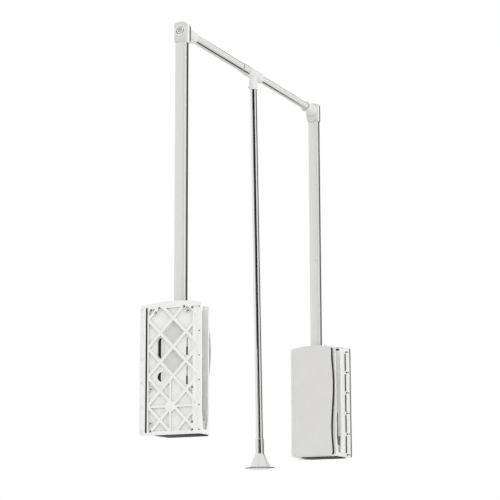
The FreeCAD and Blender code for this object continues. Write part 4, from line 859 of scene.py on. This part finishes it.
def tube_profile(low, high, outer, inner, curl):
    """A tube's wall as a closed profile (radius, along) with rounded rims, and a point beside each rim so
    that the long walls keep straight normals."""
    near = low + 2 * curl
    far = high - 2 * curl
    corners = [
        (inner, low), (outer, low), (outer, near), (outer, far),
        (outer, high), (inner, high), (inner, far), (inner, near),
    ]
    return filleted(corners, [curl / 2, curl, 0, 0, curl, curl / 2, 0, 0], 4)


# Bell grip: heights are measured from the bar's axis

BELL_FOOT = 0.0236
BELL_RIM = 0.031
BELL_BRIM = -0.872
BELL_BOTTOM = -0.874
DISC_TOP = -0.871


class RodBell(bpy.types.Operator):
    """Turn the bell-shaped grip, the stepped disc that closes it and the ring round its rim"""
    bl_idname = "closetrod.bell"
    bl_label = "Bell grip"

    def execute(self, context):
        make_piece(
            "bell_grip", on_rod(bell_profile()), "grip_chrome", "chrome_tube",
            "hanging_rod", ("pull_bell",), 50)
        make_piece(
            "bell_base", on_rod(disc_profile(), closed=False), "white_fitting", "white_fitting",
            "hanging_rod", ("bell_disc",))
        make_piece(
            "bell_buffer_ring", on_rod(buffer_profile()), "black_ring_and_shade", "dark_polymer", "hanging_rod")
        return {"FINISHED"}


def bell_profile():
    """The bell's skin: a cone that flares by the share of its height to the power 1.06, the brim, the hollow
    inside, the seat of the rod's end and the neck round it."""
    neck, cone_top = 0.009525, -0.8415
    seat, seat_floor, hollow_top = 0.008025, -0.837, -0.8435
    screw_hole, hollow_start, hollow_end = 0.00205, 0.007, BELL_FOOT - 0.005
    share = np.linspace(0, 1, 16)
    flare = np.column_stack([
        neck + (BELL_FOOT - neck) * share ** 1.06, cone_top + (BELL_BRIM - cone_top) * share])
    steps = 5
    brim = filleted(
        [(BELL_FOOT, BELL_BRIM), (BELL_RIM, BELL_BRIM), (BELL_RIM, BELL_BOTTOM),
         (BELL_FOOT - 0.0015, BELL_BOTTOM)], [0, 0.0006, 0.0008, 0.0003], steps)
    brim_without_its_start = brim[steps + 1:]
    inside = [
        (BELL_FOOT - 0.0025, BELL_BOTTOM + 0.0002), (BELL_FOOT - 0.0025, DISC_TOP),
        (hollow_end, DISC_TOP)]
    hollow = np.column_stack([
        hollow_start + (hollow_end - hollow_start) * share[::-1],
        hollow_top + (DISC_TOP - hollow_top) * share[::-1]])
    hole = [(screw_hole, hollow_top), (screw_hole, seat_floor), (seat, seat_floor)]
    collar = [
        (seat, -0.811), (0.0091, -0.811), (neck, -0.8115),
        (neck, -0.8130), (neck, -0.8385), (neck, -0.8405)]
    return np.concatenate([flare, brim_without_its_start, inside, hollow, hole, collar])


def disc_profile():
    """The disc under the bell, with two ring grooves and a dimple for the screw's head."""
    edge, low = 0.02105, -0.8735
    groove, dimple = 0.0004, 0.0006
    points = [(0, DISC_TOP), (edge, DISC_TOP), (edge, low + groove), (edge - groove, low)]
    for middle in (0.0168, 0.0118):
        points += [
            (middle + 0.0007, low), (middle + 0.0003, low + groove),
            (middle - 0.0003, low + groove), (middle - 0.0007, low)]
    points += [(0.0064, low), (0.0058, low + dimple), (0, low + dimple)]
    return points


def buffer_profile():
    """The section of the ring that is let into the bell's rim: a circle 1.9 mm across."""
    radius = 0.00095
    angle = full_turn(12)
    middle = BELL_RIM - 0.0006
    height = (BELL_BRIM + BELL_BOTTOM) / 2
    return np.column_stack([middle + radius * np.cos(angle), height + radius * np.sin(angle)])


# Sockets, caps and T-fitting

class RodSockets(bpy.types.Operator):
    """Turn the stepped collars that grip the bar, soften the caps, draw the rings at their sinks, and cast
    the T-fitting"""
    bl_idname = "closetrod.sockets"
    bl_label = "Sockets, caps and T-fitting"

    def execute(self, context):
        for side in SIDES:
            body = f"{side}_arm"
            cap = f"{side}_arm_cap"
            make_piece(
                f"{side}_socket_collar", placed(side, on_bar(socket_profile(side))),
                "white_fitting", "white_fitting", body, (f"{side}_bar_socket",))
            soften_edges(frame_copy(cap, f"{cap}_rounded", "cap_casting", body), 0.0006, 3)
            low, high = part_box(cap)
            face = low.x if side == "left" else WIDTH - high.x
            # the outer white ring is a painted highlight on the rim of the cap's sink
            make_piece(
                f"{side}_cap_ring", placed(side, cap_rings(face)), "white_housing", "white_fitting", body)
            make_piece(
                f"{side}_cap_shadow_line", placed(side, cap_shadows(face)),
                "dark_polymer", "dark_polymer", body)
        tee = frame_copy("tee_fitting", "tee_fitting_cast", "white_fitting", "hanging_rod")
        melt(tee, voxel=0.0005, passes=5)
        return {"FINISHED"}


def socket_profile(side):
    """The collar of a cap (radius, depth): a broad step at the cap, a taper, and a bead at its mouth. Its
    bore is just wider than the tube that it grips."""
    bar = 0.010 if side == "left" else 0.00895
    bore = bar + 0.00005
    corners = [
        (bore, 0.056), (0.0145, 0.056), (0.0145, 0.062), (0.0132, 0.0622),
        (0.0116, 0.0876), (0.0124, 0.0879), (0.0124, 0.092), (bore, 0.092),
    ]
    return filleted(corners, [0, 0.0012, 0.0016, 0.0004, 0.0003, 0.0004, 0.0012, 0.0003], 5)


def cap_rings(face):
    """Two flat white rings level with the cap's outer face: one on the mouth of its round sink, a painted
    highlight on its rim, and one that stands free within it."""
    rings = ((0.0090, 0.0112), (0.0058, 0.0077))
    return joined(arc_strip(face, inner, outer, -math.pi, math.pi) for inner, outer in rings)


def cap_shadows(face):
    """Two short dark arcs between those rings, on the lower front and the lower rear, 0.1 mm further out."""
    further_out = face - 0.0001
    arcs = ((1.0, 1.3), (1.7, 2.0))
    return joined(
        arc_strip(further_out, 0.0078, 0.0094, start * math.pi, end * math.pi) for start, end in arcs)


def arc_strip(face, inner, outer, start, end):
    """A thin flat arc about the bar's axis, from 0.15 mm outside a face to 0.2 mm inside it: the points
    y = r cos t and z = r sin t of two radii, from one angle to the other."""
    whole = math.isclose(end - start, 2 * math.pi)
    angles = np.linspace(start, end, 48)
    if whole:
        angles = angles[:-1]
    proud, sunk = face - 0.00015, face + 0.0002
    section = [(inner, proud), (outer, proud), (outer, sunk), (inner, sunk)]
    loops = [
        [(x, r * math.cos(t), BAR_HEIGHT + r * math.sin(t)) for r, x in section] for t in angles]
    return lofted(loops, "ring" if whole else "capped")


# Covers, painted shade and the trim of the arm slots: depths, y and heights in the left unit

PLATE_FOOT = -0.055
HOLE_ROWS = [-0.0475 + 0.0479 * index for index in range(6)]
PEEP_ROWS = (0.059, 0.116)
SLOT_FRONT = -0.0524
OUTLINE_STEPS = 90


class RodCases(bpy.types.Operator):
    """Form the inner covers with their waved edges, the painted shade in the housings' gaps, the liners and
    trim of the arm slots, and the halves behind the windows"""
    bl_idname = "closetrod.covers"
    bl_label = "Covers and slot trim"

    def execute(self, context):
        sizes = context.scene.rod_covers
        for side in SIDES:
            body = f"{side}_housing"
            make_piece(
                f"{side}_cover_shell", placed(side, cover_shape(sizes)), "grey_cover", "grey_cover",
                body, (f"{side}_cover",), 50)
            for name, shape, look, slot in (
                # painted shadow: a black cord in the gap along the cover's front edge
                ("cover_shadow_cord", cover_shadow_cord(sizes), "black_ring_and_shade", "dark_polymer"),
                ("slot_trim", scalloped_strip(), "white_housing", "white_housing"),
                ("slot_liner", slot_liner(), "white_housing", "white_housing"),
                ("slot_shadow", slot_shadow(), "black_ring_and_shade", "dark_polymer"),
                # painted shade: black rear halves that darken the windows' insides
                ("window_painted_shade", window_halves(1, 0.0086), "black_ring_and_shade", "dark_polymer"),
                ("window_screens", window_halves(-1, 0.0066), "white_fitting", "white_fitting"),
                # painted shade: black strips, dots and a pad in the housing's gaps and holes and under the
                # shell
                ("housing_seals", housing_seals(), "black_ring_and_shade", "dark_polymer"),
            ):
                make_piece(f"{side}_{name}", placed(side, shape), look, slot, body)
        return {"FINISHED"}


def cover_outline(sizes):
    """Outline (y, z) of the cover: level foot, waved front and rear edges, arched top and round corners. At
    the share h of the height the front edge lies at -49.5 mm less wave (cos(2 pi (h - 0.65) / 0.82) + 0.1),
    the rear one at 49.5 mm plus rear wave sin(4 pi h + 0.6). Both waves fade out over the last eighth at
    each end."""
    low, corner, crown = -0.0525, 0.1985, 0.005
    half, rounding, rounded_share = 0.0495, 0.0085, 0.034
    h = np.linspace(0, 1, OUTLINE_STEPS)
    z = low + (corner - low) * h
    into_corner = np.clip(1 - np.minimum(h, 1 - h) / rounded_share, 0, 1)
    round_off = rounding * (1 - np.sqrt(np.clip(1 - into_corner ** 2, 0, 1)))
    fade = np.clip(8 * h, 0, 1) * np.clip(8 * (1 - h), 0, 1)
    front = -(half + sizes.wave * (np.cos(2 * np.pi * (h - 0.65) / 0.82) + 0.1) * fade) + round_off
    rear = half + sizes.rear_wave * np.sin(4 * np.pi * h + 0.6) * fade - round_off
    across = np.linspace(-1, 1, OUTLINE_STEPS)[1:-1]
    up = np.column_stack([front, z])
    over = np.column_stack([across * (half - rounding), corner + crown * (1 - across ** 2)])
    down = np.column_stack([rear, z])[::-1]
    back = np.column_stack([across[::-1] * (half - rounding), np.full(len(across), low)])
    return np.concatenate([up, over, down, back])


def at_depth(points, depth):
    """(y, z) points at one distance from the wall."""
    return np.column_stack([np.full(len(points), depth), points])


def cover_shape(sizes):
    """The cover's skin: loops of its outline that move inwards by e (1 - cos a) while they rise by e sin a
    round the face's edge, a face that swells by 0.4 mm in its middle, and the inner wall behind it."""
    rim, face, wall, swell = 0.060, 0.0705, 0.002, 0.0004
    centre = np.array([0.0, 0.073])
    outline = cover_outline(sizes)
    inwards = (centre - outline) / np.abs(centre - outline).max(axis=1)[:, None]
    loops = [at_depth(outline + (centre - outline) * 0.004, rim), at_depth(outline, rim + 0.0006)]
    for angle in np.linspace(0, np.pi / 2, 7):
        inset = sizes.edge * (1 - math.cos(angle))
        loops.append(at_depth(outline + inwards * inset, face - swell - sizes.edge * (1 - math.sin(angle))))
    shoulder = loops[-1][:, 1:]
    for share in (0.9, 0.75, 0.5, 0.25, 0):
        loops.append(at_depth(centre + (shoulder - centre) * share, face - swell * share ** 2))
    inner = centre + (outline - centre) * 0.955
    for share in (0, 0.5, 1):
        loops.append(at_depth(centre + (inner - centre) * share, face - wall))
    loops.append(at_depth(inner, rim))
    return lofted(loops, "ring")


def cover_shadow_cord(sizes):
    """Painted shadow of the front gap: a black cord along the cover's edge, a flat oval carried up the
    outline, 0.8 mm proud of it.
    """
    near, far = 0.0600, 0.0692
    angle = full_turn(16)
    front_edge = cover_outline(sizes)[1:OUTLINE_STEPS - 1]
    depth = (near + far) / 2 + (far - near) / 2 * np.cos(angle)
    y = front_edge[:, :1] - 0.0008 * np.sin(angle)
    loops = np.stack([np.broadcast_to(depth, y.shape), y, np.broadcast_to(front_edge[:, 1:], y.shape)], -1)
    return lofted(loops, "capped")


def slab(outline, near, far):
    """A flat plate between two depths, its outline given as (y, z) points."""
    return lofted([at_depth(outline, depth) for depth in (near, far)], "capped")


def strip(near, far, front, rear, bottom, top):
    """A straight bar between depths, y places and heights, its long edges eased by 0.1 mm."""
    corners = [(front, bottom), (rear, bottom), (rear, top), (front, top)]
    return slab(filleted(corners, 0.0001, 2), near, far)


def button(near, far, y, z, radius):
    """A short round peg between two depths."""
    profile = [(0, near), (radius, near), (radius, far), (0, far)]
    return turned(profile, (0, y, z), X, 20, False)


def slot_liner():
    """The slot's two inner walls beside the arm. The one next to the plate has its full depth above the
    pinion's lever, and is a narrow edge in front of it lower down."""
    beside_plate = [
        (SLOT_FRONT, -0.006), (-0.0470, -0.006), (-0.0470, 0.047), (-0.0210, 0.062),
        (-0.0210, 0.188), (-0.0400, 0.1935), (SLOT_FRONT, 0.1925),
    ]
    beside_cover = [(SLOT_FRONT, -0.042), (-0.0430, -0.042), (-0.0430, 0.192), (SLOT_FRONT, 0.192)]
    return joined([slab(beside_plate, 0.0285, 0.0298), slab(beside_cover, 0.0543, 0.0556)])


def slot_shadow():
    """The dark end of the slot behind the far wall's liner."""
    return strip(0.0541, 0.0556, front=-0.0429, rear=-0.0380, bottom=-0.042, top=0.192)


def scalloped_strip():
    """A low strip along the slot's inner edge: its height runs as the size of a sine, to the power 0.7, with
    bumps 27 mm apart."""
    base, front, rear = 0.0559, -0.0546, -0.0528
    pitch, least, bump = 0.027, 0.0006, 0.0011
    z = np.linspace(-0.004, 0.186, 140)
    height = least + bump * np.abs(np.sin(np.pi * z / pitch)) ** 0.7
    section = np.array([(0, front), (1, front), (1, rear), (0, rear)])
    x = base - section[:, 0] * height[:, None]
    y = np.broadcast_to(section[:, 1], x.shape)
    return lofted(np.stack([x, y, np.broadcast_to(z[:, None], x.shape)], -1), "capped")


def window_halves(sign, near):
    """The front (-1) or rear (1) half of the two windows in the plate: height, reach and radius of each."""
    windows = ((0.059, 0, 0.0093), (0.116, 0.0115, 0.0088))
    return joined(half_window(row, reach, radius, sign, near) for row, reach, radius in windows)


def half_window(row, reach, radius, sign, near):
    """Half of an upright round-ended window as a thin plate: y = 22.5 mm + sign r cos t, z = row + r sin t,
    the ends moved apart by the reach, and the straight side bulging backwards by a fifth of the radius."""
    middle, thick, bulge = 0.0225, 0.0008, 0.2
    t = np.linspace(-np.pi / 2, np.pi / 2, 25)
    z = row + radius * np.sin(t) + reach * np.sign(np.sin(t))
    round_side = np.column_stack([middle + sign * radius * np.cos(t), z])
    straight_side = np.column_stack([middle + bulge * radius * np.cos(t), z])[::-1]
    return slab(np.concatenate([round_side, straight_side[1:-1]]), near, near + thick)


def housing_seals():
    """Painted shade of a housing: black pieces in its gaps, holes and hollows, from the rear channel to the
    strip under the shell.
    """
    return joined([rear_channel(), *peep_slots(), *seam(), *screw_dots(), under_shell()])


def rear_channel():
    """Painted shade: the dark floor of the long slot beside the rear flange."""
    return strip(0.0001, 0.0028, front=0.05152, rear=0.05548, bottom=-0.0485, top=0.1975)


def peep_slots():
    """Painted shade: dark floors behind the lower half of each peep slot."""
    return [
        strip(0.0047, 0.0060, front=-0.0361, rear=-0.0327, bottom=row - 0.0173, top=row - 0.001)
        for row in PEEP_ROWS]


def seam():
    """Painted shade of the seam between shell and flange in short runs, a dot at each break, and of the eyes
    of the flange's front holes."""
    gap = 0.004
    parts = [
        strip(0.0031, 0.0040, front=-0.0574, rear=-0.0551, bottom=start + gap, top=end - gap)
        for start, end in zip(HOLE_ROWS[:-1], HOLE_ROWS[1:])]
    for row in HOLE_ROWS:
        parts.append(button(0.0030, 0.0037, -0.0588, row, 0.0019))
        parts.append(button(0.0004, 0.0026, -0.0635, row, 0.00145))
    return parts


def screw_dots():
    """A dark dot of painted shade on each case screw's head, a little in front of its middle. The screws are
    given by their place across the plate, from its middle line, and their height above its foot."""
    middle_line, shift, radius = -0.002, -0.0008, 0.0015
    columns = [(sign * 0.046, above) for sign in (-1, 1) for above in (0.008, 0.023, 0.090, 0.246)]
    pairs = ((0.0275, 0.249), (0.0355, 0.2405))
    top = [(sign * half, above) for half, above in pairs for sign in (-1, 1)]
    return [
        button(0.0023, 0.0027, middle_line + across + shift, PLATE_FOOT + above, radius)
        for across, above in columns + top]


def under_shell():
    """Painted shadow: the dark strip along the shell's lower edge, on its underside."""
    return strip(0.0032, 0.0590, front=-0.0530, rear=0.0340, bottom=-0.0558, top=-0.0536)


# Add-on

OPERATORS = (RodStage, RodFinishes, RodSpringCoils, RodArmTubes, RodTubes, RodBell, RodSockets, RodCases)


class RodPanel(bpy.types.Panel):
    """Lists the pieces in the 3D view's sidebar"""
    bl_idname = "VIEW3D_PT_closet_rod"
    bl_label = "Closet rod"
    bl_space_type = "VIEW_3D"
    bl_region_type = "UI"
    bl_category = "Closet rod"

    def draw(self, context):
        for operator in OPERATORS:
            self.layout.operator(operator.bl_idname)
        for group in GROUPS:
            settings = getattr(context.scene, group)
            for prop in settings.bl_rna.properties:
                if prop.identifier not in ("rna_type", "name"):
                    self.layout.prop(settings, prop.identifier)


def register():
    for group in GROUPS.values():
        bpy.utils.register_class(group)
    for name, group in GROUPS.items():
        setattr(bpy.types.Scene, name, PointerProperty(type=group))
    for operator in OPERATORS:
        bpy.utils.register_class(operator)
    bpy.utils.register_class(RodPanel)


def unregister():
    bpy.utils.unregister_class(RodPanel)
    for operator in reversed(OPERATORS):
        bpy.utils.unregister_class(operator)
    for name in GROUPS:
        delattr(bpy.types.Scene, name)
    for group in reversed(GROUPS.values()):
        bpy.utils.unregister_class(group)


def main():
    register()
    bpy.ops.closetrod.stage()
    bpy.ops.closetrod.finishes()
    bpy.ops.closetrod.springs()
    bpy.ops.closetrod.arms()
    bpy.ops.closetrod.tubes()
    bpy.ops.closetrod.bell()
    bpy.ops.closetrod.sockets()
    bpy.ops.closetrod.covers()


if __name__ == "__main__":
    main()
